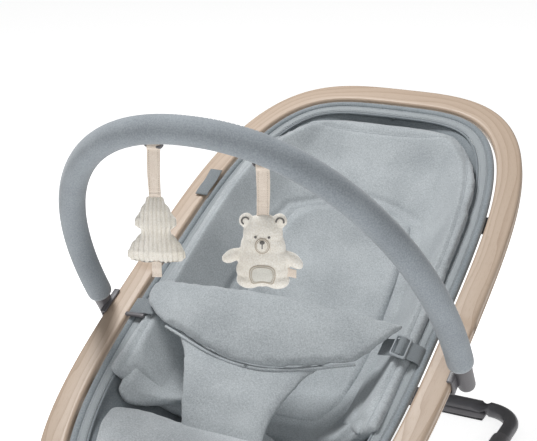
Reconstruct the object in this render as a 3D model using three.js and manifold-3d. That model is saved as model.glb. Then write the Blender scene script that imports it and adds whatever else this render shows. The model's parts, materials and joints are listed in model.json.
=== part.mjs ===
// A baby bouncer seat, in millimetres: an oval wooden ring that carries a fabric seat, a toy bar
// with two hanging toys, and a springy sled base of steel tube, joined to the ring by two hubs near
// its foot end. +X is the baby's left, +Y runs from the foot end to the head end, +Z is up.
// The origin is on the floor, in the middle of the object's footprint.
import * as THREE from "three";
import { mergeVertices } from "three/addons/utils/BufferGeometryUtils.js";
import Module from "manifold-3d";

// ---------------------------------------------------------------- driving dimensions
const clearance = 0.4; // between pieces that touch
const softGap = 2; // between a soft piece and what it rests on
const seatTilt = THREE.MathUtils.degToRad(26.5);
const clampHeight = 270; // of the toy bar's clamp line above the floor

const ringWidth = 460;
const ringLength = 816;
const ringExponent = 3.3; // 2 is an ellipse, and a large number is a rectangle
const ringFace = 33;
const ringThickness = 16;
const ringRounding = 4;
const ringCentreAlong = 70; // from the clamp line towards the head

const channelGap = 2; // between the wood and the fabric channel
const channelRadius = 8.5;
const channelWall = 2;
const seatTubeRadius = 5.5;
const slingWall = 3;

const barHalfSpan = ringWidth / 2 + 8; // its ends stand just outside the wood
const barRise = 340;
const barExponent = 2.2;
const barLean = THREE.MathUtils.degToRad(5.8);
const barLift = 7.5; // of the sleeve's ends above the wood
const sleeveRadius = 15.5;
const coreRadius = 8;
const barEndRadius = 10.5;
const barEndLength = 40;
const clipLength = 40;
const clipWall = 3;
const clipLip = 5;

const treeAlongBar = -54; // sideways place of each toy on the bar
const bearAlongBar = 71;
const toyStrapWidth = 14;
const hangerDrop = 6;
const hangerWire = 2;

const tubeRadius = 11;
const tubeWall = 1.5;
const baseHalfWidth = ringWidth / 2 - 30;
const rearBarY = 412;
const frontBarY = -225;
const rearCornerRadius = 42;
const tubeLift = 5; // of the tubes above the floor
const noseReach = 70; // how strongly the runners' noses bulge forwards
const couplerY = 300;
const couplerLength = 50;
const couplerWall = 2.5;

const stripHalfLength = baseHalfWidth - 48;
const stripWidth = 25;
const stripTop = 12; // above the floor
const gripHeight = 3;

const hubFromFoot = 138; // of the hub's axis, from the ring's foot end
const hubRadius = 27;
const hubPinRadius = 5;
const hubBlockLength = 86;
const hubBlockHeight = 12;
const hubBlockGap = 3; // between the block and the base's hub
const hubBlockHalfWidth = 9;
const hubScrewSpacing = 70;
const hubScrewRadius = 2.4;
const hubScrewBite = 9; // into the wood
const socketLength = 26; // of the base hub's socket for the runner
const socketWall = 2.5;
const seatHubWidth = 17;
const baseHubWidth = 2 * (tubeRadius + socketWall) + 1;
const hubAlong = ringCentreAlong - ringLength / 2 + hubFromFoot; // from the clamp line
const hubDepth = ringThickness + hubBlockHeight + hubRadius + hubBlockGap; // under the ring's top
const buttonRadius = 12;
const buttonTravel = 3;
const buttonProud = 3;
const buttonThickness = 7;
const returnWasherHeight = 2;

// ---------------------------------------------------------------- materials
const material = (color, roughness, metalness = 0) =>
  new THREE.MeshStandardMaterial({ color, roughness, metalness });
const ashWood = material(0xcdb49c, 0.55);
const greyCloth = material(0x9fa6ab, 0.95);
const borderCloth = material(0x8d959b, 0.9);
const webbing = material(0x8a9196, 0.9);
const sleeveCloth = material(0x868d93, 0.9);
const darkPlastic = material(0x4d4c50, 0.45);
const greyPlastic = material(0x9aa1a6, 0.5);
const darkSteel = material(0x55555a, 0.4, 0.5);
const brightSteel = material(0xb5b8bb, 0.3, 0.9);
const rubber = material(0x333336, 0.85);
const creamPlush = material(0xe6dccb, 1);
const creamRibbon = material(0xe3d0bd, 1);

// ---------------------------------------------------------------- solids
const wasm = await Module();
wasm.setup();

function solidOf(geometry) {
  const bare = geometry.clone();
  for (const name of Object.keys(bare.attributes)) {
    if (name !== "position") bare.deleteAttribute(name);
  }
  const merged = mergeVertices(bare, 1e-3);
  const vertProperties = new Float32Array(merged.attributes.position.array);
  const triVerts = new Uint32Array(merged.index.array);
  return new wasm.Manifold(new wasm.Mesh({ numProp: 3, vertProperties, triVerts }));
}

function geometryOf(solid) {
  const mesh = solid.getMesh();
  const geometry = new THREE.BufferGeometry();
  geometry.setAttribute("position", new THREE.BufferAttribute(mesh.vertProperties, mesh.numProp));
  geometry.setIndex(new THREE.BufferAttribute(mesh.triVerts, 1));
  const flat = geometry.toNonIndexed();
  flat.computeVertexNormals();
  return flat;
}

const join = (...parts) => geometryOf(parts.map(solidOf).reduce((a, b) => a.add(b)));
const cut = (body, ...tools) => geometryOf(tools.map(solidOf).reduce((a, b) => a.subtract(b), solidOf(body)));

// Joins rings of points into one closed solid. Each ring has the same count of points; a closed
// loft joins its last ring to its first, and an open one gets a flat fan at each end.
function loft(rings, closed = false) {
  const sides = rings[0].length;
  const positions = rings.flat().flatMap((p) => [p.x, p.y, p.z]);
  const index = [];
  const spans = closed ? rings.length : rings.length - 1;
  for (let i = 0; i < spans; i += 1) {
    const near = i * sides;
    const far = ((i + 1) % rings.length) * sides;
    for (let k = 0; k < sides; k += 1) {
      const next = (k + 1) % sides;
      index.push(near + k, near + next, far + k, near + next, far + next, far + k);
    }
  }
  if (!closed) {
    const last = (rings.length - 1) * sides;
    for (let k = 1; k < sides - 1; k += 1) {
      index.push(0, k + 1, k, last, last + k, last + k + 1);
    }
  }
  return facingOut(positions, index);
}

// A solid between two sheets. top and bottom give a point for s and t, which each run from 0 to 1.
function blanket(top, bottom, columns, rows) {
  const positions = [];
  for (const sheet of [top, bottom]) {
    for (let j = 0; j <= rows; j += 1) {
      for (let i = 0; i <= columns; i += 1) {
        const p = sheet(i / columns, j / rows);
        positions.push(p.x, p.y, p.z);
      }
    }
  }
  const width = columns + 1;
  const layer = width * (rows + 1);
  const index = [];
  const quad = (a, b, c, d) => index.push(a, b, c, a, c, d);
  for (let j = 0; j < rows; j += 1) {
    for (let i = 0; i < columns; i += 1) {
      const a = j * width + i;
      quad(a, a + 1, a + width + 1, a + width);
      quad(layer + a, layer + a + width, layer + a + width + 1, layer + a + 1);
    }
  }
  for (let i = 0; i < columns; i += 1) {
    const far = rows * width + i;
    quad(i, layer + i, layer + i + 1, i + 1);
    quad(far, far + 1, layer + far + 1, layer + far);
  }
  for (let j = 0; j < rows; j += 1) {
    const left = j * width;
    const right = left + columns;
    quad(left, left + width, layer + left + width, layer + left);
    quad(right, layer + right, layer + right + width, right + width);
  }
  return facingOut(positions, index);
}

// Builds the geometry, turned inside out if its volume comes out negative.
function facingOut(positions, index) {
  let volume = 0;
  const point = (i) => new THREE.Vector3(positions[3 * i], positions[3 * i + 1], positions[3 * i + 2]);
  for (let i = 0; i < index.length; i += 3) {
    const [a, b, c] = [index[i], index[i + 1], index[i + 2]].map(point);
    volume += a.dot(b.cross(c));
  }
  const faces = volume < 0 ? index.slice().reverse() : index;
  const geometry = new THREE.BufferGeometry();
  geometry.setAttribute("position", new THREE.Float32BufferAttribute(positions, 3));
  geometry.setIndex(faces);
  const flat = geometry.toNonIndexed();
  flat.computeVertexNormals();
  return flat;
}

// A round tube along a curve; bore leaves it hollow from end to end.
function tube(curve, radius, { sides = 10, steps = 24, bore = 0 } = {}) {
  const section = new THREE.Shape(circlePoints(radius, sides));
  if (bore) section.holes.push(new THREE.Path(circlePoints(bore, sides).reverse()));
  return new THREE.ExtrudeGeometry(section, { steps, bevelEnabled: false, extrudePath: curve });
}

function circlePoints(radius, sides, from = 0, sweep = 2 * Math.PI) {
  const whole = Math.abs(sweep - 2 * Math.PI) < 1e-9;
  const count = whole ? sides : sides + 1;
  return Array.from({ length: count }, (_, i) => {
    const angle = from + (sweep * i) / sides;
    return new THREE.Vector2(radius * Math.cos(angle), radius * Math.sin(angle));
  });
}

// A cylinder along X between two places.
function axle(radius, from, to, sides = 20) {
  const body = new THREE.CylinderGeometry(radius, radius, to - from, sides);
  return body.rotateZ(Math.PI / 2).translate((from + to) / 2, 0, 0);
}

// A cylinder along Z between two heights.
function upright(radius, from, to, count = 12) {
  const body = new THREE.CylinderGeometry(radius, radius, to - from, count);
  return body.rotateX(Math.PI / 2).translate(0, 0, (from + to) / 2);
}

function box(x, y, z, place = [0, 0, 0]) {
  return new THREE.BoxGeometry(x, y, z).translate(...place);
}

// Smooth interpolation in a list of [place, value] stations.
function stationValue(stations, place) {
  const last = stations[stations.length - 1];
  if (place <= stations[0][0]) return stations[0][1];
  if (place >= last[0]) return last[1];
  const k = stations.findIndex(([at]) => at > place);
  const [a, b] = [stations[k - 1], stations[k]];
  const share = THREE.MathUtils.smoothstep(place, a[0], b[0]);
  const straight = (place - a[0]) / (b[0] - a[0]);
  return THREE.MathUtils.lerp(a[1], b[1], 0.5 * (share + straight));
}

// ---------------------------------------------------------------- scene graph
const product = new THREE.Group();
const base = new THREE.Group();
const seat = new THREE.Group(); // x across, y along the ring to the head, z off its top face
const toyBar = new THREE.Group();
seat.rotation.x = seatTilt;
toyBar.rotation.x = barLean;
base.position.z = -clampHeight;
product.add(base, seat);
seat.add(toyBar);

function add(group, name, geometry, look) {
  const mesh = new THREE.Mesh(geometry, look);
  mesh.name = name;
  group.add(mesh);
  return mesh;
}

const sideName = (side, name) => `${side < 0 ? "right" : "left"}_${name}`;
const sides = [-1, 1];

// ---------------------------------------------------------------- wooden ring
const halfWidth = ringWidth / 2;
const halfLength = ringLength / 2;

// A point of the ring's outline, moved inwards by inset.
function ringPoint(angle, inset = 0) {
  const reach = (value) => Math.sign(value) * Math.abs(value) ** (2 / ringExponent);
  const x = halfWidth * reach(Math.cos(angle));
  const y = halfLength * reach(Math.sin(angle));
  const slope = (value, size) => (Math.sign(value) * Math.abs(value / size) ** (ringExponent - 1)) / size;
  const normal = new THREE.Vector2(slope(x, halfWidth), slope(y, halfLength)).normalize();
  return new THREE.Vector2(x - inset * normal.x, y - inset * normal.y + ringCentreAlong);
}

// Half the outline's width at a place along the ring.
function ringPointAt(along) {
  const share = Math.abs(along - ringCentreAlong) / halfLength;
  return halfWidth * (1 - share ** ringExponent) ** (1 / ringExponent);
}

// Angles that space the outline's points evenly enough round the corners.
function ringAngles(count) {
  return Array.from({ length: count }, (_, i) => {
    const turn = (2 * Math.PI * (i + 0.5)) / count;
    return Math.atan2(halfWidth * Math.sin(turn), halfLength * 0.72 * Math.cos(turn));
  });
}

const ringOutline = (inset, count) => ringAngles(count).map((angle) => ringPoint(angle, inset));

// Places across and along the ring of the screws that hold the hubs under the wood.
const hubScrewX = ringPointAt(hubAlong) - ringFace / 2;
const hubScrewPlaces = [-1, 1].map((end) => hubAlong + (end * hubScrewSpacing) / 2);

function woodRing() {
  const outline = new THREE.Shape(ringOutline(ringRounding, 56));
  outline.holes.push(new THREE.Path(ringOutline(ringFace - ringRounding, 56).reverse()));
  const depth = ringThickness - 2 * ringRounding;
  const options = { depth, bevelThickness: ringRounding, bevelSize: ringRounding, bevelSegments: 2 };
  const board = new THREE.ExtrudeGeometry(outline, { ...options, curveSegments: 1 })
    .translate(0, 0, ringRounding - ringThickness);
  const pilots = sides.flatMap((side) => hubScrewPlaces.map((along) =>
    upright(hubScrewRadius + clearance, -ringThickness - 1, hubScrewBite + clearance - ringThickness)
      .translate(side * hubScrewX, along, 0)));
  return cut(board, ...pilots);
}

add(seat, "wood_ring", woodRing(), ashWood);

// ---------------------------------------------------------------- seat tube and fabric channel
const channelInset = ringFace + channelGap + channelRadius;
const channelZ = -ringThickness / 2;

// Sweeps a section round the ring. The section's x points outwards and its y points up.
function sweepRound(section, inset, z, count) {
  const rings = ringAngles(count).map((angle) => {
    const centre = ringPoint(angle, inset);
    const outer = ringPoint(angle, inset - 1).sub(centre);
    return section.map((p) => new THREE.Vector3(centre.x + outer.x * p.x, centre.y + outer.y * p.x, z + p.y));
  });
  return loft(rings, true);
}

const channelMouth = THREE.MathUtils.degToRad(50); // left open at the bottom, where the sling is sewn on
const channelFrom = -Math.PI / 2 + channelMouth / 2;
const channelSweep = 2 * Math.PI - channelMouth;
const channelSection = [
  ...circlePoints(channelRadius, 9, channelFrom, channelSweep),
  ...circlePoints(channelRadius - channelWall, 9, channelFrom, channelSweep).reverse(),
];
add(seat, "seat_tube", sweepRound(circlePoints(seatTubeRadius, 8), channelInset, channelZ, 48), brightSteel);
add(seat, "border_channel", sweepRound(channelSection, channelInset, channelZ, 48), borderCloth);

// ---------------------------------------------------------------- sling and pads
const slingInset = channelInset + channelRadius + 1;
const seatDepth = [[-300, 4], [-230, 10], [-185, 28], [-125, 78], [-70, 104], [0, 108],
  [90, 96], [180, 82], [270, 66], [340, 44], [400, 18], [440, 4]];
const sidePower = 3.2;

// Half the width inside the channel at a place along the seat.
function innerHalfWidth(along, inset = slingInset) {
  const share = Math.min(1, Math.abs((along - ringCentreAlong) / (halfLength - inset)));
  return (halfWidth - inset) * (1 - share ** ringExponent) ** (1 / ringExponent);
}

// Height of the sling's upper face under the ring's top face.
function slingHeight(x, along) {
  const width = Math.max(innerHalfWidth(along), 1);
  const share = Math.min(1, Math.abs(x) / width);
  return channelZ - stationValue(seatDepth, along) * (1 - share ** sidePower);
}

// Maps a square onto the ring's oval, so that the square's edge becomes the oval's edge.
function ovalPoint(s, t, inset) {
  const across = 2 * s - 1;
  const along = 2 * t - 1;
  const reach = Math.max(Math.abs(across), Math.abs(along));
  const power = Math.abs(across) ** ringExponent + Math.abs(along) ** ringExponent;
  const scale = reach / (power ** (1 / ringExponent) || 1);
  return new THREE.Vector2(
    (halfWidth - inset) * across * scale,
    (halfLength - inset) * along * scale + ringCentreAlong,
  );
}

function slingSheet(drop) {
  return (s, t) => {
    const p = ovalPoint(s, t, slingInset);
    return new THREE.Vector3(p.x, p.y, slingHeight(p.x, p.y) - drop);
  };
}

const slingGrid = [12, 20];
add(seat, "sling", blanket(slingSheet(0), slingSheet(slingWall), ...slingGrid), greyCloth);

// Trims what would reach into the sling off a pad that lies on it.
const trimDepth = 80;
const belowSling = blanket(slingSheet(-clearance), slingSheet(trimDepth), ...slingGrid);
const clearOfSling = (geometry) => cut(geometry, belowSling);

// A pad on the sling from one place along the seat to another. width gives its half width.
function pad(from, to, width, thickness, rest, columns, rows) {
  const sheet = (raise) => (s, t) => {
    const along = THREE.MathUtils.lerp(from, to, t);
    const across = 2 * s - 1;
    const x = across * width(along);
    return new THREE.Vector3(x, along, slingHeight(x, along) + rest + raise(across, 2 * t - 1));
  };
  const crown = (a, b) => 1 - 0.75 * Math.max(Math.abs(a) ** 4, Math.abs(b) ** 6);
  return blanket(sheet((a, b) => thickness * crown(a, b)), sheet(() => 0), columns, rows);
}

const padInset = slingInset + 2;
const padBreak = -108; // where the seat pad meets the back pad
const padFoot = ringCentreAlong - halfLength + 68;
const padHead = ringCentreAlong + halfLength - 70;
const backPadThickness = 22;
const seatPadThickness = 26;
const inlayThickness = 12;
const inlayFrom = -20;
const inlayTo = 268;
const inlayHalfWidth = [[-20, 104], [120, 104], [220, 92], [268, 46]];

const padWidth = (along) => innerHalfWidth(along, padInset);
const backPad = pad(padBreak + 2, padHead, padWidth, backPadThickness, softGap, 10, 14);
const seatPad = pad(padFoot, padBreak - 2, padWidth, seatPadThickness, softGap, 10, 7);
add(seat, "back_pad", clearOfSling(backPad), greyCloth);
add(seat, "seat_pad", clearOfSling(seatPad), greyCloth);

const inlayWidth = (along) => stationValue(inlayHalfWidth, along);
const inlayRest = backPadThickness + 2 * softGap;
add(seat, "newborn_inlay", pad(inlayFrom, inlayTo, inlayWidth, inlayThickness, inlayRest, 8, 10), greyCloth);

// A soft side panel beside the hips, lying on the back pad under the waist pad's end.
const wingFrom = -100;
const wingTo = -14;
const wingInner = [[-100, 92], [-60, 100], [-14, 112]];
const wingThickness = 9;

function wing(side) {
  const sheet = (raise) => (s, t) => {
    const along = THREE.MathUtils.lerp(wingFrom, wingTo, t);
    const x = THREE.MathUtils.lerp(stationValue(wingInner, along), innerHalfWidth(along, padInset) - 2, s);
    const edge = 1 - 0.6 * Math.max(Math.abs(2 * s - 1), Math.abs(2 * t - 1)) ** 4;
    const z = slingHeight(x, along) + inlayRest + raise * wingThickness * edge;
    return new THREE.Vector3(side * x, along, z);
  };
  return blanket(sheet(1), sheet(0), 6, 8);
}

for (const side of sides) {
  add(seat, sideName(side, "side_wing"), wing(side), greyCloth);
}

// ---------------------------------------------------------------- tube brackets under the wood
const bracketAlong = [hubAlong + 80, ringCentreAlong + 180];
const bracketLength = 30;
const bracketWall = 2;
const bracketDrop = 2.5; // of the sheet under the wood

// A sheet saddle, screwed under the wood, whose cupped end holds the seat tube's channel from below.
function tubeBracket(side, along) {
  const outer = innerHalfWidth(along, 0) - ringFace / 2;
  const cup = innerHalfWidth(along, channelInset);
  const under = -ringThickness - clearance;
  const flat = box(outer - cup + 12, bracketLength, bracketWall, [side * (outer + cup) / 2, along, 0]);
  flat.translate(0, 0, under - bracketDrop - bracketWall / 2);
  const footHeight = bracketDrop + bracketWall;
  const foot = box(14, bracketLength, footHeight, [side * outer, along, under - footHeight / 2]);
  return join(flat, foot);
}

for (const side of sides) {
  add(seat, sideName(side, "foot_bracket"), tubeBracket(side, bracketAlong[0]), darkSteel);
  add(seat, sideName(side, "head_bracket"), tubeBracket(side, bracketAlong[1]), darkSteel);
}

// ---------------------------------------------------------------- harness
const waistHalfSpan = halfWidth - 67;
const waistShift = -6; // the pad reaches further on the side that is sewn to its strap
const waistThickness = 12;
const waistEndZ = 12;
const waistTopRise = 28; // of the pad's upper edge in the middle, over its ends
const waistHemDrop = 6; // of the pad's hem in the middle, under its ends
const waistTopAlong = [27, 38]; // of the upper edge in the middle and at the ends
const waistHemAlong = [-55, -20]; // of the hem in the middle and at the ends
const waistCentreAlong = 9; // of the straps
const crotchBottomAlong = -150;
const crotchTopHalfWidth = 106;
const crotchBottomHalfWidth = 53;
const crotchFlare = 2.2; // a larger number keeps the panel narrow for longer
const crotchThickness = 7;

// How far across the pad a place is from its ends: 1 in the middle and 0 at the ends.
const waistBow = (x) => 1 - (x / waistHalfSpan) ** 2;
const hemAlong = (x) => THREE.MathUtils.lerp(waistHemAlong[1], waistHemAlong[0], waistBow(x) ** 2);
const hemZ = (x) => waistEndZ - waistHemDrop * waistBow(x);

// A band over the hips that bulges forwards between its hem and its upper edge.
function waistPad() {
  const sheet = (raise) => (s, t) => {
    const x = (2 * s - 1) * waistHalfSpan;
    const topAlong = THREE.MathUtils.lerp(waistTopAlong[1], waistTopAlong[0], waistBow(x));
    const topZ = waistEndZ + waistTopRise * waistBow(x);
    const along = THREE.MathUtils.lerp(hemAlong(x), topAlong, t);
    const z = THREE.MathUtils.lerp(hemZ(x), topZ, Math.sin((Math.PI / 2) * t));
    const edge = 1 - 0.7 * Math.abs(2 * t - 1) ** 4;
    return new THREE.Vector3(x + waistShift, along, z + raise * waistThickness * edge);
  };
  return blanket(sheet(0.5), sheet(-0.5), 14, 5);
}

// The panel between the legs, from the seat pad up to the waist pad's hem.
function crotchPanel() {
  const restZ = slingHeight(0, crotchBottomAlong) + 2 * softGap + seatPadThickness;
  const bottomZ = restZ + crotchThickness;
  const sheet = (raise) => (s, t) => {
    const width = THREE.MathUtils.lerp(crotchBottomHalfWidth, crotchTopHalfWidth, t ** crotchFlare);
    const x = (2 * s - 1) * width;
    const along = THREE.MathUtils.lerp(crotchBottomAlong, hemAlong(x) - softGap - clearance, t);
    const z = THREE.MathUtils.lerp(bottomZ, hemZ(x) - softGap, t);
    return new THREE.Vector3(x, along, z + raise * crotchThickness);
  };
  return blanket(sheet(0.5), sheet(-0.5), 8, 8);
}

add(seat, "waist_pad", waistPad(), greyCloth);
add(seat, "crotch_panel", crotchPanel(), greyCloth);

const strapWidth = 25;
const strapThickness = 1.6;
const lockWidth = 31;
const lockLength = 20;
const lockThickness = 4;
const lockX = waistHalfSpan + waistShift + lockLength / 2 + clearance;
const channelTop = channelZ + channelRadius + clearance;

// The webbing between the waist pad and the fabric channel, just clear of both.
function sideStrap(side, start) {
  const end = innerHalfWidth(waistCentreAlong, channelInset) - 2;
  const sheet = (drop) => (s, t) => {
    const x = THREE.MathUtils.lerp(start, end, s);
    const z = THREE.MathUtils.lerp(waistEndZ, channelTop + strapThickness, s) - drop;
    return new THREE.Vector3(side * x, waistCentreAlong + (t - 0.5) * strapWidth, z);
  };
  return blanket(sheet(0), sheet(strapThickness), 3, 2);
}

// The baby's left side opens with a ladder lock; the right side has a flat clip beside its strap.
const lockSlot = 5;
const lockSlots = [-1, 1].map((place) =>
  box(lockSlot, strapWidth + 1, lockThickness + 2, [place * (lockSlot - clearance), 0, 0]));
const ladderLock = cut(box(lockLength, lockWidth, lockThickness), ...lockSlots);
ladderLock.translate(lockX, waistCentreAlong, waistEndZ);
add(seat, "left_ladder_lock", ladderLock, greyPlastic);
add(seat, "left_harness_strap", sideStrap(1, lockX + lockLength / 2 + clearance), webbing);
add(seat, "right_harness_strap", sideStrap(-1, waistHalfSpan - waistShift + clearance), webbing);

const strapClip = [20, 6, 3]; // across, along and high
const strapClipAlong = waistCentreAlong - strapWidth / 2 - strapClip[1] / 2 - 2;
const strapClipX = 4 - innerHalfWidth(strapClipAlong, channelInset);
const strapClipZ = channelTop + strapClip[2] / 2;
add(seat, "right_strap_clip", box(...strapClip, [strapClipX, strapClipAlong, strapClipZ]), darkPlastic);

// A folded cloth label, sewn in the seam beside the wood.
const labelSize = [18, 52, 1.2];
const labelAlong = 232;
const labelX = 28 - ringPointAt(labelAlong);
add(seat, "cloth_label", box(...labelSize, [labelX, labelAlong, 2]), webbing);

// ---------------------------------------------------------------- toy bar
function barPoint(angle) {
  const reach = (value) => Math.sign(value) * Math.abs(value) ** (2 / barExponent);
  const x = -barHalfSpan * reach(Math.cos(angle));
  return new THREE.Vector3(x, 0, barLift + barRise * reach(Math.sin(angle)));
}

const barCurve = new THREE.CatmullRomCurve3(
  Array.from({ length: 33 }, (_, i) => barPoint((Math.PI * (i + 0.02)) / 32.04)),
);
const barSteps = 32;
add(toyBar, "bar_core", tube(barCurve, coreRadius, { sides: 8, steps: barSteps }), darkPlastic);
const sleeve = tube(barCurve, sleeveRadius, { sides: 12, steps: barSteps, bore: coreRadius + 2 * clearance });
add(toyBar, "bar_sleeve", sleeve, sleeveCloth);

// The clip hugs the wood's outer edge: a wall down the edge and a lip on each face.
function barClip(side) {
  const edge = innerHalfWidth(0, 0) + clearance;
  const wallHeight = ringThickness + 2 * (clearance + clipWall);
  const middle = -ringThickness / 2;
  const wall = box(clipWall, clipLength, wallHeight, [side * (edge + clipWall / 2), 0, middle]);
  const lips = [1, -1].map((up) => box(clipLip + clipWall, clipLength, clipWall,
    [side * (edge - clipLip / 2 + clipWall / 2), 0, middle + up * (wallHeight - clipWall) / 2]));
  return join(wall, ...lips).rotateX(-barLean);
}

// The end fitting under the sleeve, with an arm that reaches the clip.
function barEnd(side) {
  const top = barLift - clearance - 1;
  const body = new THREE.CapsuleGeometry(barEndRadius, barEndLength - 2 * barEndRadius, 3, 16)
    .rotateX(Math.PI / 2).translate(side * barHalfSpan, 0, top - barEndLength / 2);
  const trim = box(60, 60, 60, [side * barHalfSpan, 0, top + 30]);
  const column = new THREE.CylinderGeometry(barEndRadius, barEndRadius, barEndLength / 2, 16)
    .rotateX(Math.PI / 2).translate(side * barHalfSpan, 0, top - barEndLength / 4);
  return cut(join(body, column), trim, clipRoom(side));
}

// The space that the clip and the wood's edge take out of the end fitting.
function clipRoom(side) {
  const face = innerHalfWidth(0, 0) + clearance + clipWall + clearance;
  return box(40, clipLength + 20, 80, [side * (face - 20), 0, -30]);
}

for (const side of sides) {
  add(toyBar, sideName(side, "bar_end"), barEnd(side), darkPlastic);
  add(toyBar, sideName(side, "bar_clip"), barClip(side), darkPlastic);
}

// ---------------------------------------------------------------- toys
// The place on the bar whose sideways position is x, and the world point under the sleeve there.
function barAt(x) {
  const points = barCurve.getPoints(400);
  const nearest = points.reduce((a, b) => (Math.abs(b.x - x) < Math.abs(a.x - x) ? b : a));
  return nearest.clone();
}

// Height under the sloping sleeve at a sideways place.
function underSleeve(x) {
  const rise = (barAt(x + 2).z - barAt(x - 2).z) / 4;
  return barAt(x).z - sleeveRadius * Math.hypot(1, rise) - clearance;
}

const hangerHalf = toyStrapWidth / 2 + 3;
const hangerBar = (x) => Math.min(underSleeve(x - hangerHalf), underSleeve(x + hangerHalf)) - hangerDrop;

// A wire loop under the sleeve: two legs and a cross bar for the ribbon to hang from.
function hanger(x) {
  const bottom = hangerBar(x);
  const legs = [-hangerHalf, hangerHalf].map((offset) => {
    const top = new THREE.Vector3(x + offset, 0, underSleeve(x + offset) - 1.8 * hangerWire);
    return rod(new THREE.Vector3(x + offset, 0, bottom), top, hangerWire);
  });
  const ends = [-hangerHalf, hangerHalf].map((offset) => new THREE.Vector3(x + offset, 0, bottom));
  return join(...legs, rod(...ends, hangerWire));
}

function rod(from, to, radius) {
  const along = to.clone().sub(from);
  const body = new THREE.CylinderGeometry(radius, radius, along.length() + 2 * radius, 8);
  const upwards = new THREE.Vector3(0, 1, 0);
  const turn = new THREE.Quaternion().setFromUnitVectors(upwards, along.clone().normalize());
  return body.applyQuaternion(turn).translate(...from.clone().add(to).multiplyScalar(0.5).toArray());
}

product.updateMatrixWorld(true);

// A group that hangs straight down from the hanger's cross bar.
function hangingGroup(x) {
  const local = new THREE.Vector3(x, 0, hangerBar(x));
  const group = new THREE.Group();
  group.position.copy(local.applyMatrix4(toyBar.matrixWorld));
  product.add(group);
  return group;
}

// A flat ribbon, looped round the cross bar at its top.
function ribbon(length) {
  const wall = 1.4;
  const eye = hangerWire + 0.8;
  const loop = axle(eye + wall, -toyStrapWidth / 2, toyStrapWidth / 2, 14);
  const tail = box(toyStrapWidth, 3, length, [0, 0, -length / 2 - eye]);
  const strip = join(loop, tail);
  return cut(strip, axle(eye, -toyStrapWidth, toyStrapWidth, 14));
}

// A stuffed shape with this outline, thick in the middle and thin at its edge.
function stuffed(outline, thickness) {
  const shape = new THREE.Shape(outline);
  const flatShare = 0.3;
  const edge = 4;
  const bevelThickness = (thickness * (1 - flatShare)) / 2;
  const options = { bevelThickness, bevelSize: edge, bevelOffset: -edge, bevelSegments: 2 };
  const depth = thickness * flatShare;
  return new THREE.ExtrudeGeometry(shape, { ...options, depth, curveSegments: 8 })
    .translate(0, 0, -depth / 2).rotateX(Math.PI / 2);
}

function mirrored(half) {
  const other = half.slice().reverse().map(([x, y]) => [-x, y]);
  return [...half, ...other].map(([x, y]) => new THREE.Vector2(x, y));
}

const treeRibbonLength = 52;
const treeHalf = [[9, 0], [22, -25], [23.5, -31], [16.5, -36], [29, -58], [31.5, -66], [29, -72], [9, -73]];
const treeHeight = 73;
const trunkSize = [10.5, 3, 17];
const bearRibbonLength = 46;
const bearHalf = [[10, -2], [18.5, 1.5], [24.5, -7], [23, -13.5], [27, -30], [41, -39], [40, -50],
  [28.5, -50], [32, -75], [20, -82], [5, -77]];
const bearLabelPlace = [33, -62]; // across and under the bear's top

const tree = hangingGroup(treeAlongBar);
add(toyBar, "tree_hanger", hanger(treeAlongBar), darkPlastic);
add(tree, "tree_ribbon", ribbon(treeRibbonLength), creamRibbon);
const treeTop = -treeRibbonLength - hangerWire - 1.5;
add(tree, "tree_body", stuffed(mirrored(treeHalf), 22).translate(0, 0, treeTop), creamPlush);
const trunkZ = treeTop - treeHeight - trunkSize[2] / 2 - clearance;
add(tree, "tree_trunk", box(...trunkSize, [0, 0, trunkZ]), creamRibbon);

const bear = hangingGroup(bearAlongBar);
add(toyBar, "bear_hanger", hanger(bearAlongBar), darkPlastic);
add(bear, "bear_ribbon", ribbon(bearRibbonLength), creamRibbon);
const bearTop = -bearRibbonLength - hangerWire - 3.5;
add(bear, "bear_body", stuffed(mirrored(bearHalf), 23).translate(0, 0, bearTop), creamPlush);
const bearLabelZ = bearTop + bearLabelPlace[1];
add(bear, "bear_label", box(9, 1.2, 8, [bearLabelPlace[0] + 4.5, 0, bearLabelZ]), creamRibbon);

// ---------------------------------------------------------------- hubs
// The hub's axis, in the base group, from its place in the seat group.
const hubPlace = new THREE.Vector3(0, hubAlong, -hubDepth);
hubPlace.applyAxisAngle(new THREE.Vector3(1, 0, 0), seatTilt);
const hubY = hubPlace.y;
const hubZ = hubPlace.z + clampHeight;
const baseHubInner = baseHalfWidth - baseHubWidth / 2;
const baseHubOuter = baseHubInner + baseHubWidth;
const seatHubOuter = baseHubInner - clearance;
const seatHubInner = seatHubOuter - seatHubWidth;
const buttonEnd = baseHubOuter + buttonProud;
const pinEnd = buttonEnd - buttonThickness - buttonTravel - returnWasherHeight - 2 * clearance;

// The seat's half of the hub: a disc with a block that is screwed under the wood.
function seatHub() {
  const disc = axle(hubRadius, seatHubInner, seatHubOuter, 28);
  const blockTop = hubDepth - ringThickness - clearance;
  const block = box(2 * hubBlockHalfWidth, hubBlockLength, hubBlockHeight,
    [hubScrewX, 0, blockTop - hubBlockHeight / 2]);
  const shelfTop = hubDepth + channelZ - channelRadius - softGap;
  const shelfOuter = hubScrewX + hubBlockHalfWidth;
  const shelfHeight = shelfTop - (blockTop - hubBlockHeight);
  const shelf = box(shelfOuter - seatHubInner, hubBlockLength, shelfHeight,
    [(shelfOuter + seatHubInner) / 2, 0, shelfTop - shelfHeight / 2]);
  const web = box(seatHubWidth, 1.6 * hubRadius, shelfTop - shelfHeight / 2,
    [(seatHubInner + seatHubOuter) / 2, 0, (shelfTop - shelfHeight / 2) / 2]);
  const holes = hubScrewPlaces.map((along) =>
    upright(hubScrewRadius + clearance, 0, hubDepth).translate(hubScrewX, along - hubAlong, 0));
  const bore = axle(hubPinRadius + clearance, seatHubInner - 1, seatHubOuter + 1, 16);
  return cut(join(disc, web, shelf, block), bore, ...holes);
}

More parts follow.
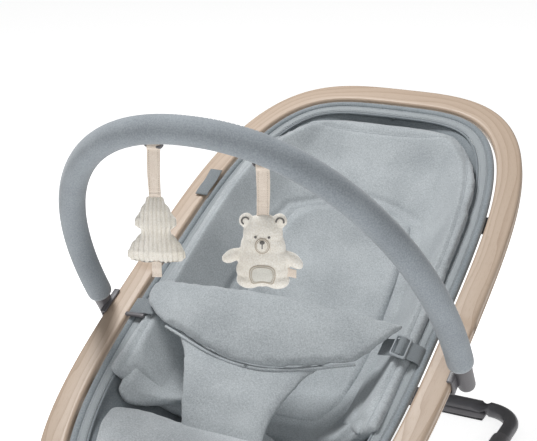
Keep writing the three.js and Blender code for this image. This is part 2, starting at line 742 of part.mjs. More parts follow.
// A pan-head screw from below, through the hub's block into the wood.
function hubScrew() {
  const under = -ringThickness - clearance - hubBlockHeight - clearance;
  const shank = upright(hubScrewRadius, under - 1, hubScrewBite - ringThickness);
  const head = upright(2 * hubScrewRadius, under - 2.6, under, 14);
  return join(shank, head);
}

// The base's half: a disc with a socket for the runner and a recess for the button.
function baseHub(runner) {
  const disc = axle(hubRadius, baseHubInner, baseHubOuter, 28);
  const start = runner.getPointAt(0);
  const down = runner.getTangentAt(0);
  const hubCentre = new THREE.Vector3(0, hubY, hubZ);
  const socketEnd = start.clone().add(down.multiplyScalar(socketLength)).sub(hubCentre);
  const socket = rod(new THREE.Vector3(start.x, 0, 0), socketEnd, tubeRadius + socketWall);
  const recess = axle(buttonRadius + clearance, pinEnd - clearance, baseHubOuter + 1, 24);
  const hole = axle(hubPinRadius + clearance, baseHubInner - 1, pinEnd, 16);
  return cut(join(disc, socket), recess, hole, runnerRoom().translate(0, -hubY, -hubZ));
}

// ---------------------------------------------------------------- base tubes
const tubeZ = tubeLift + tubeRadius;

// The runner from the hub, round its nose at the front, and back along the floor.
function runnerCurve() {
  const x = baseHalfWidth;
  const leave = new THREE.Vector2(-0.82, -0.57);
  const start = hubRadius + 1;
  const reach = 3.9 * hubRadius;
  const nose = new THREE.CubicBezierCurve3(
    new THREE.Vector3(x, hubY + leave.x * start, hubZ + leave.y * start),
    new THREE.Vector3(x, hubY + leave.x * reach, hubZ + leave.y * reach),
    new THREE.Vector3(x, frontBarY - noseReach, tubeZ),
    new THREE.Vector3(x, frontBarY, tubeZ),
  );
  const floorSteps = 8;
  const floor = Array.from({ length: floorSteps }, (_, i) => {
    const y = THREE.MathUtils.lerp(frontBarY, couplerY - clearance, (i + 1) / floorSteps);
    return new THREE.Vector3(x, y, tubeZ);
  });
  return new THREE.CatmullRomCurve3([...nose.getPoints(12), ...floor]);
}

// The U-shaped bar behind the runners, from coupler to coupler.
function rearBarCurve() {
  const r = rearCornerRadius;
  const straight = [0, 0.5, 1].map((share) => {
    const y = THREE.MathUtils.lerp(couplerY + clearance, rearBarY - r, share);
    return new THREE.Vector3(baseHalfWidth, y, tubeZ);
  });
  const corner = Array.from({ length: 6 }, (_, i) => {
    const turn = (Math.PI / 2) * ((i + 1) / 6);
    const x = baseHalfWidth - r + r * Math.cos(turn);
    return new THREE.Vector3(x, rearBarY - r + r * Math.sin(turn), tubeZ);
  });
  const half = [...straight, ...corner];
  const other = half.slice().reverse().map((p) => new THREE.Vector3(-p.x, p.y, p.z));
  const across = [0.95, 0.5, 0, -0.5, -0.95].map((share) => share * (baseHalfWidth - r));
  const middle = across.map((x) => new THREE.Vector3(x, rearBarY, tubeZ));
  return new THREE.CatmullRomCurve3([...half, ...middle, ...other]);
}

const runner = runnerCurve();
const tubeBore = tubeRadius - tubeWall;
const runnerTube = () => tube(runner, tubeRadius, { sides: 12, steps: 30, bore: tubeBore });
const runnerRoom = () => tube(runner, tubeRadius + clearance, { sides: 12, steps: 40 });

// The sleeve that joins a runner to the rear bar.
function coupler() {
  const half = couplerLength / 2;
  const bore = tubeRadius + clearance;
  const ends = [-half, half].map((offset) => new THREE.Vector3(baseHalfWidth, couplerY + offset, tubeZ));
  return tube(new THREE.LineCurve3(...ends), bore + couplerWall, { sides: 16, steps: 1, bore });
}

for (const side of sides) {
  add(base, sideName(side, "runner"), mirrorX(runnerTube(), side), darkSteel);
  add(base, sideName(side, "coupler"), mirrorX(coupler(), side), darkPlastic);
}
const rearBar = tube(rearBarCurve(), tubeRadius, { sides: 12, steps: 44, bore: tubeBore });
add(base, "rear_bar", rearBar, darkSteel);

// Mirrors a solid in the plane x = 0 and keeps its faces pointing out.
function mirrorX(geometry, side) {
  if (side > 0) return geometry;
  const whole = geometry.index ? geometry.toNonIndexed() : geometry;
  const place = whole.attributes.position;
  for (let i = 0; i < place.count; i += 3) {
    const [a, b, c] = [i, i + 1, i + 2].map((k) => new THREE.Vector3().fromBufferAttribute(place, k));
    [a, c, b].forEach((p, k) => place.setXYZ(i + k, -p.x, p.y, p.z));
  }
  whole.computeVertexNormals();
  return whole;
}

// The front cross tube, coped round the runners at its two ends.
function frontCrossTube() {
  const reach = baseHalfWidth - tubeRadius - 2;
  const bar = axle(tubeRadius, -reach, reach, 12).translate(0, frontBarY, tubeZ);
  const bore = axle(tubeBore, -reach - 1, reach + 1, 12).translate(0, frontBarY, tubeZ);
  return cut(bar, bore, ...sides.map((side) => mirrorX(runnerRoom(), side)));
}
add(base, "front_cross_tube", frontCrossTube(), darkSteel);

for (const side of sides) {
  const move = (geometry) => mirrorX(geometry, side).translate(0, hubY, hubZ);
  add(base, sideName(side, "base_hub"), move(baseHub(runner)), darkPlastic);
  const pin = axle(hubPinRadius, seatHubInner + 2, pinEnd - 2 * clearance, 16);
  add(base, sideName(side, "hub_pin"), move(pin), brightSteel);
  const washer = cut(axle(9, pinEnd, pinEnd + returnWasherHeight, 20), axle(6, pinEnd - 1, pinEnd + 4, 16));
  add(base, sideName(side, "return_washer"), move(washer), brightSteel);
  const button = axle(buttonRadius, buttonEnd - buttonThickness, buttonEnd, 24);
  add(base, sideName(side, "release_button"), move(button), greyPlastic);
  const inSeat = mirrorX(seatHub(), side).translate(0, hubAlong, -hubDepth);
  add(seat, sideName(side, "seat_hub"), inSeat, darkPlastic);
  hubScrewPlaces.forEach((along, i) => {
    const screw = hubScrew().translate(side * hubScrewX, along, 0);
    add(seat, sideName(side, `hub_screw_${i + 1}`), screw, brightSteel);
  });
}

// ---------------------------------------------------------------- foot strips
// A plastic strip that cups the lower half of a cross tube, on a rubber grip.
function footStrip(y) {
  const bottom = gripHeight + clearance;
  const body = box(2 * stripHalfLength, stripWidth, stripTop - bottom, [0, y, (stripTop + bottom) / 2]);
  const room = axle(tubeRadius + clearance, -stripHalfLength - 1, stripHalfLength + 1, 24);
  return cut(body, room.translate(0, y, tubeZ));
}

const footGrip = (y) => box(2 * stripHalfLength - 4, stripWidth - 4, gripHeight, [0, y, gripHeight / 2]);

for (const [end, y] of [["rear", rearBarY], ["front", frontBarY]]) {
  add(base, `${end}_foot_strip`, footStrip(y), darkPlastic);
  add(base, `${end}_foot_grip`, footGrip(y), rubber);
}

// ---------------------------------------------------------------- origin
// The whole object is moved so that the origin is on the floor, under the middle of its bounds.
const bounds = new THREE.Box3().setFromObject(product, true);
product.position.set(0, -(bounds.min.y + bounds.max.y) / 2, clampHeight);

export default product;
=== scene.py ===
# %% [markdown]
# # A baby bouncer seat
# The seat is an oval wooden ring that carries quilted fabric, a padded arch with two soft toys,
# and a sled base of bent steel tube. The mechanical model is already in the scene as a fixed
# frame, so every piece here is measured from it. Soft things are made new: a solid block can say
# where a cushion is, but only a puffed, stitched surface looks like one.

# %% Load the frame
import json
import math
import bmesh
import bpy
from mathutils import Matrix, Vector, noise
from mathutils.bvhtree import BVHTree
from mathutils.kdtree import KDTree


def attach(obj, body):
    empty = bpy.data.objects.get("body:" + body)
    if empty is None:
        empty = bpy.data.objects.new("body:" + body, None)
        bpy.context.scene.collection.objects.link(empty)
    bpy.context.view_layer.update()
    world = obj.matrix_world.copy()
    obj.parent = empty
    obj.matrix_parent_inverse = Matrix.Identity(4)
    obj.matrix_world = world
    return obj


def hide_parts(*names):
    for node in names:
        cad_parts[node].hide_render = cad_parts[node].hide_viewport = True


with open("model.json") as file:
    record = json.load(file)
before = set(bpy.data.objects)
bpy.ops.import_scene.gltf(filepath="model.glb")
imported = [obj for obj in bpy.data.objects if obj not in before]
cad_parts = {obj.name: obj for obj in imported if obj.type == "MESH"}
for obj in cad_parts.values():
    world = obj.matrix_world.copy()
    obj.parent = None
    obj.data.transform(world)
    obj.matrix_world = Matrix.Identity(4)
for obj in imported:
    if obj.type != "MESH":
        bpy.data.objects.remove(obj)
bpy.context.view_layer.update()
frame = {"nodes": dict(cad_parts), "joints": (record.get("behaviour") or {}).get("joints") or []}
joints = {joint["name"]: joint for joint in frame["joints"]}

# %% [markdown]
# ## The seat's own coordinates
# The ring lies in a tilted plane, so its pieces are easiest to draw in three tilted directions:
# u across, v along the ring towards the head, and h straight up out of its top face. One function
# turns millimetres in that system into metres in the scene. The origin is on the ring's top face,
# between the toy bar's two clips, and comes from the toy bar's joint.

# %% Seat coordinates
MM = 0.001
SEAT_TILT = math.radians(26.5)
ARCH_LEAN = math.radians(5.8)
CLIP_MIDDLE_DEPTH = 8.0  # of the toy bar's joint, under the ring's top face
ALONG = Vector((0, math.cos(SEAT_TILT), math.sin(SEAT_TILT)))
UPWARD = Vector((0, -math.sin(SEAT_TILT), math.cos(SEAT_TILT)))
SEAT_ORIGIN = Vector(joints["toy_bar_tilt"]["pos_m"]) + UPWARD * CLIP_MIDDLE_DEPTH * MM


def seat(u, v, h):
    """A place on the tilted seat, in millimetres, as a point in the scene."""
    return SEAT_ORIGIN + Vector((u * MM, 0, 0)) + ALONG * (v * MM) + UPWARD * (h * MM)


def leaning(u, h):
    """A place in the toy bar's own plane, which leans a little further than the ring's normal."""
    return seat(u, -h * math.sin(ARCH_LEAN), h * math.cos(ARCH_LEAN))


print("seat origin", [round(c, 4) for c in SEAT_ORIGIN])

# %% [markdown]
# ## The camera and the light
# A long lens from the foot end, a little to the side and above. Soft goods look soft under broad
# light, so a big panel hangs above and a weaker one fills from the front. The world behind the
# floor looks white, but lights the scene only gently.

# %% Camera
CAMERA_PLACE = SEAT_ORIGIN + Vector((0.6193, -1.2566, 0.6171))
CAMERA_TARGET = SEAT_ORIGIN + Vector((-0.0063, 0.0033, 0.1414))
camera_data = bpy.data.cameras.new("camera")
camera_data.sensor_width = 36
camera_data.lens = 85.3
camera_data.clip_end = 50
camera = bpy.data.objects.new("camera", camera_data)
bpy.context.scene.collection.objects.link(camera)
camera.location = CAMERA_PLACE
camera.rotation_euler = (CAMERA_TARGET - CAMERA_PLACE).to_track_quat("-Z", "Y").to_euler()
bpy.context.scene.camera = camera


# %% Light and floor
def panel_light(name, place, size, power):
    """A soft rectangular light that faces the seat."""
    data = bpy.data.lights.new(name, "AREA")
    data.shape = "SQUARE"
    data.size = size
    data.energy = power
    light = bpy.data.objects.new(name, data)
    bpy.context.scene.collection.objects.link(light)
    light.location = place
    light.rotation_euler = (CAMERA_TARGET - Vector(place)).to_track_quat("-Z", "Y").to_euler()


panel_light("overhead", (-0.8, 0.0, 2.3), 0.7, 40)
panel_light("front_fill", (1.6, -1.9, 1.5), 1.2, 11)
WORLD_SEEN = 1.0  # brightness behind the floor
WORLD_LIGHT = 0.22  # brightness as a light
world = bpy.data.worlds.new("studio")
world.use_nodes = True
sky = world.node_tree
sky.nodes["Background"].inputs["Color"].default_value = (1, 1, 1, 1)
sight = sky.nodes.new("ShaderNodeLightPath")
brightness = sky.nodes.new("ShaderNodeMath")
brightness.operation = "MULTIPLY_ADD"
brightness.inputs[1].default_value = WORLD_SEEN - WORLD_LIGHT
brightness.inputs[2].default_value = WORLD_LIGHT
sky.links.new(sight.outputs["Is Camera Ray"], brightness.inputs[0])
sky.links.new(brightness.outputs[0], sky.nodes["Background"].inputs["Strength"])
bpy.context.scene.world = world
bpy.context.scene.view_settings.view_transform = "Standard"  # colours come out as they are given
bpy.ops.mesh.primitive_plane_add(size=12)
floor = bpy.context.object
floor.name = "floor"
pale = bpy.data.materials.new("pale_floor")
pale.use_nodes = True
floor_shader = pale.node_tree.nodes["Principled BSDF"]
floor_shader.inputs["Base Color"].default_value = (0.9, 0.9, 0.9, 1)
floor_shader.inputs["Emission Color"].default_value = (1, 1, 1, 1)
floor_shader.inputs["Emission Strength"].default_value = 0.75
floor.data.materials.append(pale)

# %% [markdown]
# ## Shared shader groups
# Three effects are built once, as node groups: the heathered look of brushed cloth, which also
# gives moulded plastic its fine tooth, the diagonal ribs of woven tape, with painted shade in
# their valleys, and the grain of wood.
# Each has its scale as an input, so it can be set wherever it is used.


# %% Node helpers
def new_group(name, inputs, outputs):
    """A shader node group with float inputs and typed outputs, and its two end nodes."""
    group = bpy.data.node_groups.new(name, "ShaderNodeTree")
    group.interface.new_socket("Vector", in_out="INPUT", socket_type="NodeSocketVector")
    for label, value in inputs.items():
        socket = group.interface.new_socket(label, in_out="INPUT", socket_type="NodeSocketFloat")
        socket.default_value = value
    for label in outputs:
        group.interface.new_socket(label, in_out="OUTPUT", socket_type="NodeSocketFloat")
    return group, group.nodes.new("NodeGroupInput"), group.nodes.new("NodeGroupOutput")


def math_node(tree, operation, first, second=0.0):
    """One sum on two sockets or numbers."""
    node = tree.nodes.new("ShaderNodeMath")
    node.operation = operation
    for socket, value in zip(node.inputs, (first, second)):
        if hasattr(value, "links"):
            tree.links.new(value, socket)
        else:
            socket.default_value = value
    return node.outputs[0]


def noise_node(tree, vector, scale, detail=2.0):
    """Noise of about one lump in each 1/scale metres."""
    node = tree.nodes.new("ShaderNodeTexNoise")
    node.inputs["Detail"].default_value = detail
    tree.links.new(vector, node.inputs["Vector"])
    if hasattr(scale, "links"):
        tree.links.new(scale, node.inputs["Scale"])
    else:
        node.inputs["Scale"].default_value = scale
    return node.outputs["Fac"]


def axis_of(tree, vector, axis):
    """One component of a vector."""
    node = tree.nodes.new("ShaderNodeSeparateXYZ")
    tree.links.new(vector, node.inputs[0])
    return node.outputs[axis]


# %% Heathered cloth
def heather_group():
    """Fine mixed fibres in soft clouds: Tone is 0 to 1, Height is for a bump."""
    group, given, result = new_group("Heather", {"Fibre": 900.0, "Clouds": 14.0}, ("Tone", "Height"))
    fine = noise_node(group, given.outputs["Vector"], given.outputs["Fibre"], 3.0)
    soft = noise_node(group, given.outputs["Vector"], given.outputs["Clouds"], 2.0)
    fine_share = math_node(group, "MULTIPLY", fine, 0.62)
    tone = math_node(group, "ADD", fine_share, math_node(group, "MULTIPLY", soft, 0.38))
    group.links.new(tone, result.inputs["Tone"])
    group.links.new(fine, result.inputs["Height"])
    return group


# %% Woven tape
def twill_group():
    """The diagonal ribs of webbing, from two coordinates in metres along the tape. Its Tone is painted shade:
    the rib height again, darker in the valleys.
    """
    group, given, result = new_group("Twill", {"Rib": 0.0016}, ("Tone", "Height"))
    across = axis_of(group, given.outputs["Vector"], 0)
    along = axis_of(group, given.outputs["Vector"], 1)
    diagonal = math_node(group, "DIVIDE", math_node(group, "ADD", across, along), given.outputs["Rib"])
    counter = math_node(group, "DIVIDE", math_node(group, "SUBTRACT", across, along), given.outputs["Rib"])
    rib = math_node(group, "SINE", math_node(group, "MULTIPLY", diagonal, 2 * math.pi))
    thread = math_node(group, "SINE", math_node(group, "MULTIPLY", counter, 6 * math.pi))
    deep_rib = math_node(group, "MULTIPLY", rib, 0.35)
    height = math_node(group, "ADD", deep_rib, math_node(group, "MULTIPLY", thread, 0.1))
    rib_height_and_shade = math_node(group, "ADD", height, 0.5)
    group.links.new(rib_height_and_shade, result.inputs["Height"])
    # Tone is the same as Height, so the valleys between ribs are painted darker: painted shade in the weave.
    group.links.new(rib_height_and_shade, result.inputs["Tone"])
    return group


# %% Wood grain
def grain_group():
    """Growth rings in long arches, and short dark pores. Vector is along, across and round."""
    group, given, result = new_group("Grain", {"Rings": 60.0, "Sway": 3.2}, ("Tone", "Pores"))
    squash = group.nodes.new("ShaderNodeMapping")
    squash.inputs["Scale"].default_value = (3.2, 24, 24)
    group.links.new(given.outputs["Vector"], squash.inputs["Vector"])
    sway = noise_node(group, squash.outputs[0], 1.0, 2.5)
    across = axis_of(group, given.outputs["Vector"], 1)
    rings = math_node(group, "MULTIPLY", across, given.outputs["Rings"])
    swayed = math_node(group, "ADD", rings, math_node(group, "MULTIPLY", sway, given.outputs["Sway"]))
    saw = math_node(group, "FRACT", math_node(group, "MULTIPLY", swayed, 1.6))
    late = math_node(group, "POWER", saw, 3.0)
    streak = group.nodes.new("ShaderNodeMapping")
    streak.inputs["Scale"].default_value = (90, 1500, 1500)
    group.links.new(given.outputs["Vector"], streak.inputs["Vector"])
    pores = noise_node(group, streak.outputs[0], 1.0, 1.0)
    group.links.new(late, result.inputs["Tone"])
    group.links.new(pores, result.inputs["Pores"])
    return group


HEATHER = heather_group()
TWILL = twill_group()
GRAIN = grain_group()

# %% [markdown]
# ## Materials
# Every material is a Principled surface whose colour, roughness and bump come from a group. The
# plain numbers, such as sheen, sit on the shader itself.


# %% Material helpers
def linear(red, green, blue):
    """A colour given as 0 to 255 screen values, as the linear numbers that shaders use."""
    channel = lambda c: c / 12.92 if c <= 0.04045 else ((c + 0.055) / 1.055) ** 2.4
    return tuple(channel(c / 255) for c in (red, green, blue)) + (1,)


def start_material(name, roughness, metallic=0.0, sheen=0.0):
    """A new material, its tree, its shader and a socket of object coordinates."""
    material = bpy.data.materials.new(name)
    material.use_nodes = True
    tree = material.node_tree
    shader = tree.nodes["Principled BSDF"]
    shader.inputs["Roughness"].default_value = roughness
    shader.inputs["Metallic"].default_value = metallic
    shader.inputs["Sheen Weight"].default_value = sheen
    shader.inputs["Sheen Roughness"].default_value = 0.5
    place = tree.nodes.new("ShaderNodeTexCoord").outputs["Object"]
    return material, tree, shader, place


def use_group(tree, group, vector, **values):
    """Places a shared group and sets its inputs."""
    node = tree.nodes.new("ShaderNodeGroup")
    node.node_tree = group
    tree.links.new(vector, node.inputs["Vector"])
    for label, value in values.items():
        node.inputs[label].default_value = value
    return node


def colour_between(tree, shader, tone, dark, light, low=0.3, high=0.7):
    """Feeds Base Color with a ramp from dark to light as tone goes from low to high."""
    ramp = tree.nodes.new("ShaderNodeValToRGB")
    ramp.color_ramp.elements[0].position = low
    ramp.color_ramp.elements[0].color = dark
    ramp.color_ramp.elements[1].position = high
    ramp.color_ramp.elements[1].color = light
    tree.links.new(tone, ramp.inputs["Fac"])
    tree.links.new(ramp.outputs["Color"], shader.inputs["Base Color"])


def bump(tree, shader, height, distance, strength=1.0):
    """Feeds Normal with a bump of this depth, in metres."""
    node = tree.nodes.new("ShaderNodeBump")
    node.inputs["Distance"].default_value = distance
    node.inputs["Strength"].default_value = strength
    tree.links.new(height, node.inputs["Height"])
    tree.links.new(node.outputs["Normal"], shader.inputs["Normal"])


# %% Cloth, tape and plush
def cloth_material(name, dark, light, fibre=620.0, depth=0.00025, sheen=0.25):
    """Brushed knit cloth."""
    material, tree, shader, place = start_material(name, 0.92, sheen=sheen)
    cloth = use_group(tree, HEATHER, place, Fibre=fibre)
    colour_between(tree, shader, cloth.outputs["Tone"], linear(*dark), linear(*light), 0.36, 0.64)
    bump(tree, shader, cloth.outputs["Height"], depth, 0.8)
    return material


def tape_material(name, dark, light, rib=0.0016):
    """Woven tape, with its ribs on the piece's own UV map, and painted shade in the valleys between them."""
    material, tree, shader, _ = start_material(name, 0.85, sheen=0.15)
    flow = tree.nodes.new("ShaderNodeUVMap")
    flow.uv_map = "flow"
    weave = use_group(tree, TWILL, flow.outputs["UV"], Rib=rib)
    # Dark in the rib valleys and light on the rib tops: painted shade in the weave.
    colour_between(tree, shader, weave.outputs["Tone"], linear(*dark), linear(*light), 0.1, 0.9)
    bump(tree, shader, weave.outputs["Height"], 0.0003)
    return material


def wood_material():
    """Oiled beech with long grain that follows the ring."""
    material, tree, shader, _ = start_material("beech", 0.5)
    flow = tree.nodes.new("ShaderNodeUVMap")
    flow.uv_map = "flow"
    wood = use_group(tree, GRAIN, flow.outputs["UV"])
    pores = math_node(tree, "MULTIPLY", math_node(tree, "GREATER_THAN", wood.outputs["Pores"], 0.64), 0.22)
    tone = math_node(tree, "ADD", math_node(tree, "MULTIPLY", wood.outputs["Tone"], 0.42), pores)
    colour_between(tree, shader, tone, linear(190, 170, 151), linear(150, 124, 102), 0.0, 1.0)
    rough = math_node(tree, "ADD", 0.42, math_node(tree, "MULTIPLY", tone, 0.2))
    tree.links.new(rough, shader.inputs["Roughness"])
    bump(tree, shader, math_node(tree, "SUBTRACT", 1.0, tone), 0.0001, 0.5)
    return material


# %% Plastic, metal and rubber
def moulded_material(name, dark, light, roughness=0.45, metallic=0.0, tooth=1400.0, depth=0.00004):
    """A hard surface with a fine tooth and slightly uneven gloss."""
    material, tree, shader, place = start_material(name, roughness, metallic)
    surface = use_group(tree, HEATHER, place, Fibre=tooth, Clouds=30.0)
    colour_between(tree, shader, surface.outputs["Tone"], linear(*dark), linear(*light), 0.25, 0.75)
    spread = math_node(tree, "MULTIPLY", surface.outputs["Tone"], 0.16)
    tree.links.new(math_node(tree, "ADD", spread, roughness - 0.08), shader.inputs["Roughness"])
    bump(tree, shader, surface.outputs["Height"], depth)
    return material


GREY_CLOTH = cloth_material("grey_cloth", (152, 158, 162), (189, 195, 198))
# The seat pad's cloth is the grey cloth made a little lighter: painted light, for the brighter light on the
# seat pad at the front.
SEAT_CLOTH_PAINTED_LIGHT = cloth_material("seat_cloth_painted_light", (156, 162, 166), (197, 202, 205))
BAR_CLOTH = cloth_material("bar_cloth", (129, 136, 142), (156, 163, 169), depth=0.00015)
SHELL_CLOTH = cloth_material("shell_cloth", (122, 130, 135), (150, 157, 162))
PLUSH = cloth_material("plush", (231, 224, 211), (252, 249, 242), fibre=650.0, depth=0.0009, sheen=0.6)
CORDUROY = cloth_material("corduroy", (222, 215, 200), (250, 246, 238), fibre=800.0, depth=0.0006, sheen=0.5)
RIBBON = cloth_material("ribbon", (222, 206, 190), (243, 231, 218), fibre=1100.0, depth=0.0003)
PATCH = cloth_material("patch", (205, 203, 194), (228, 226, 218), fibre=1100.0, depth=0.0003)
# For webbing and band, the dark end of each ramp is painted shade in the weave's valleys.
WEBBING = tape_material("webbing", (98, 104, 109), (158, 165, 169))
BAND = tape_material("band", (140, 147, 151), (182, 188, 191), 0.0022)
THREAD = moulded_material("thread", (168, 175, 180), (196, 202, 206), 0.7)
DARK_THREAD = moulded_material("dark_thread", (96, 94, 92), (120, 118, 114), 0.7)
TAN_THREAD = moulded_material("tan_thread", (176, 163, 146), (196, 184, 168), 0.7)
BEECH = wood_material()
DARK_PLASTIC = moulded_material("dark_plastic", (88, 86, 89), (108, 106, 109), 0.42)
GREY_PLASTIC = moulded_material("grey_plastic", (150, 157, 162), (170, 176, 180), 0.4)
DARK_STEEL = moulded_material("dark_steel", (86, 85, 88), (104, 103, 106), 0.38, 0.25, 2200.0)
BRIGHT_STEEL = moulded_material("bright_steel", (176, 178, 180), (206, 208, 210), 0.3, 1.0, 500.0)
RUBBER = moulded_material("rubber", (52, 52, 54), (68, 68, 70), 0.8)
print("materials", len(bpy.data.materials))

# %% [markdown]
# ## Mesh helpers
# Most of the seat is swept: one section carried along a path. A sweep keeps a UV map called flow,
# in metres along the path and round the section, and grain and weave follow that map.


# %% Pieces and sweeps
def make_piece(name, vertices, faces, material, uv=None):
    """A smooth-shaded mesh object at the scene's origin."""
    mesh = bpy.data.meshes.new(name)
    mesh.from_pydata([tuple(v) for v in vertices], [], faces)
    if uv:
        layer = mesh.uv_layers.new(name="flow")
        for loop, pair in zip(layer.data, uv):
            loop.uv = pair
    mesh.materials.append(material)
    mesh.polygons.foreach_set("use_smooth", [True] * len(mesh.polygons))
    piece = bpy.data.objects.new(name, mesh)
    bpy.context.scene.collection.objects.link(piece)
    return piece


def face_out(piece):
    """Turns every face of a closed piece outwards."""
    work = bmesh.new()
    work.from_mesh(piece.data)
    bmesh.ops.recalc_face_normals(work, faces=work.faces)
    work.to_mesh(piece.data)
    work.free()


def loft(name, rings, material, closed=False):
    """Joins rings of points into one closed skin, with the flow map in metres."""
    sides = len(rings[0])
    vertices = [p for ring in rings for p in ring]
    spans = len(rings) if closed else len(rings) - 1
    along = [0.0]
    for i in range(spans):
        along.append(along[-1] + (rings[(i + 1) % len(rings)][0] - rings[i][0]).length)
    widest = max(rings, key=lambda ring: sum((ring[k] - ring[k - 1]).length for k in range(sides)))
    around = [0.0]
    for k in range(sides):
        around.append(around[-1] + (widest[(k + 1) % sides] - widest[k]).length)
    faces, uv = [], []
    for i in range(spans):
        far = (i + 1) % len(rings)
        for k in range(sides):
            turn = (k + 1) % sides
            faces.append((i * sides + k, i * sides + turn, far * sides + turn, far * sides + k))
            for a, b in ((i, k), (i, k + 1), (i + 1, k + 1), (i + 1, k)):
                uv.append((along[a], around[b]))
    if not closed:
        last = (len(rings) - 1) * sides
        faces.append(tuple(range(sides))[::-1])
        faces.append(tuple(last + k for k in range(sides)))
        uv.extend([(0.0, 0.0)] * (2 * sides))
    piece = make_piece(name, vertices, faces, material, uv)
    face_out(piece)
    return piece


def circle(radius, sides=20):
    """Points of a round section, in millimetres."""
    turns = [2 * math.pi * k / sides for k in range(sides)]
    return [(radius * math.cos(t), radius * math.sin(t)) for t in turns]


def rounded_box(width, height, radius, steps=3):
    """Points of a rectangle with round corners, in millimetres."""
    points = []
    for corner in range(4):
        sign_x = (1, -1, -1, 1)[corner]
        sign_y = (1, 1, -1, -1)[corner]
        for step in range(steps + 1):
            turn = math.pi / 2 * (corner + step / steps)
            x = sign_x * (width / 2 - radius) + radius * math.cos(turn)
            y = sign_y * (height / 2 - radius) + radius * math.sin(turn)
            points.append((x, y))
    return points


def sweep(name, path, section, material, scales=None, up=Vector((1, 0, 0))):
    """Carries a section, in millimetres, along an open path of scene points."""
    rings = []
    for i, point in enumerate(path):
        before = path[max(i - 1, 0)]
        after = path[min(i + 1, len(path) - 1)]
        tangent = (after - before).normalized()
        side = up.cross(tangent)
        if side.length < 1e-3:
            side = Vector((0, 0, 1)).cross(tangent)
        side.normalize()
        lift = tangent.cross(side)
        size = scales[i] if scales else 1.0
        rings.append([point + side * (x * MM * size) + lift * (y * MM * size) for x, y in section])
    return loft(name, rings, material)


def domed(path, radius, steps=5):
    """A path and its scales, with a round nose added at each end."""
    start = (path[0] - path[1]).normalized()
    end = (path[-1] - path[-2]).normalized()
    turns = [math.pi / 2 * (k + 1) / steps for k in range(steps)]
    front = [(path[0] + start * (radius * MM * math.sin(t)), max(math.cos(t), 0.02)) for t in reversed(turns)]
    back = [(path[-1] + end * (radius * MM * math.sin(t)), max(math.cos(t), 0.02)) for t in turns]
    whole = front + [(p, 1.0) for p in path] + back
    return [p for p, _ in whole], [s for _, s in whole]


def paint_node(name, material):
    """Gives a node of the mechanical model its finish."""
    node = frame["nodes"][name]
    node.data.materials.clear()
    node.data.materials.append(material)


def soften(name, material, body, slot, width):
    """A copy of a hard node with its sharp edges broken by this many millimetres."""
    mesh = frame["nodes"][name].data.copy()
    work = bmesh.new()
    work.from_mesh(mesh)
    bmesh.ops.remove_doubles(work, verts=work.verts, dist=1e-5)
    bmesh.ops.dissolve_limit(work, angle_limit=math.radians(2), verts=work.verts, edges=work.edges)
    work.to_mesh(mesh)
    work.free()
    mesh.materials.clear()
    mesh.materials.append(material)
    piece = bpy.data.objects.new(f"{name}_shape", mesh)
    bpy.context.scene.collection.objects.link(piece)
    bevel = piece.modifiers.new("Bevel", "BEVEL")
    bevel.width = width * MM
    bevel.segments = 3
    bevel.limit_method = "ANGLE"
    bevel.angle_limit = math.radians(35)
    graph = bpy.context.evaluated_depsgraph_get()
    piece.data = bpy.data.meshes.new_from_object(piece.evaluated_get(graph), depsgraph=graph)
    piece.modifiers.clear()
    piece.data.polygons.foreach_set("use_smooth", [True] * len(piece.data.polygons))
    piece.data.set_sharp_from_angle(angle=math.radians(32))
    return settle(piece, body, slot, name)


def settle(piece, body, slot, *nodes):
    """Says what a piece rides on and the nodes that it stands for; slot is not used."""
    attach(piece, body)
    if nodes:
        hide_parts(*nodes)
    return piece


# %% [markdown]
# ## The wooden ring
# The real ring is a board of bent beech, about 33 mm wide and 16 mm thick, with its edges rounded
# and a fine groove round its outer side. Its outline is a superellipse, an oval with straighter
# sides. A sweep round that outline keeps the edges even, and lets the grain follow the board.

# %% The ring's outline
RING_HALF_WIDTH = 230.0
RING_HALF_LENGTH = 408.0
RING_EXPONENT = 3.3
RING_CENTRE = 70.0
RING_FACE = 33.0
RING_THICKNESS = 16.0


def oval_point(turn, inset):
    """A point of the ring's outline, moved inwards, and the outward direction there."""
    power = lambda value, p: math.copysign(abs(value) ** p, value)
    u = RING_HALF_WIDTH * power(math.cos(turn), 2 / RING_EXPONENT)
    v = RING_HALF_LENGTH * power(math.sin(turn), 2 / RING_EXPONENT)
    out_u = power(u / RING_HALF_WIDTH, RING_EXPONENT - 1) / RING_HALF_WIDTH
    out_v = power(v / RING_HALF_LENGTH, RING_EXPONENT - 1) / RING_HALF_LENGTH
    size = math.hypot(out_u, out_v)
    out_u, out_v = out_u / size, out_v / size
    return u - inset * out_u, v - inset * out_v + RING_CENTRE, out_u, out_v


def oval_path(inset, count):
    """Evenly spaced points round the outline, starting in the middle of the foot end."""
    fine = [oval_point(-math.pi / 2 + 2 * math.pi * k / 4000, inset) for k in range(4001)]
    lengths = [0.0]
    for a, b in zip(fine, fine[1:]):
        lengths.append(lengths[-1] + math.hypot(b[0] - a[0], b[1] - a[1]))
    chosen, k = [], 0
    for i in range(count):
        target = lengths[-1] * i / count
        while lengths[k + 1] < target:
            k += 1
        chosen.append(fine[k])
    return chosen


def sweep_round(name, inset, depth, section, material, count=280):
    """Carries a section round the oval. Its x points outwards and its y points up."""
    rings = []
    for u, v, out_u, out_v in oval_path(inset, count):
        rings.append([seat(u + out_u * x, v + out_v * x, y - depth) for x, y in section])
    return loft(name, rings, material, closed=True)


# %% The ring's section and sweep
GROOVE_DEPTH = 0.9
GROOVE_WIDTH = 1.4


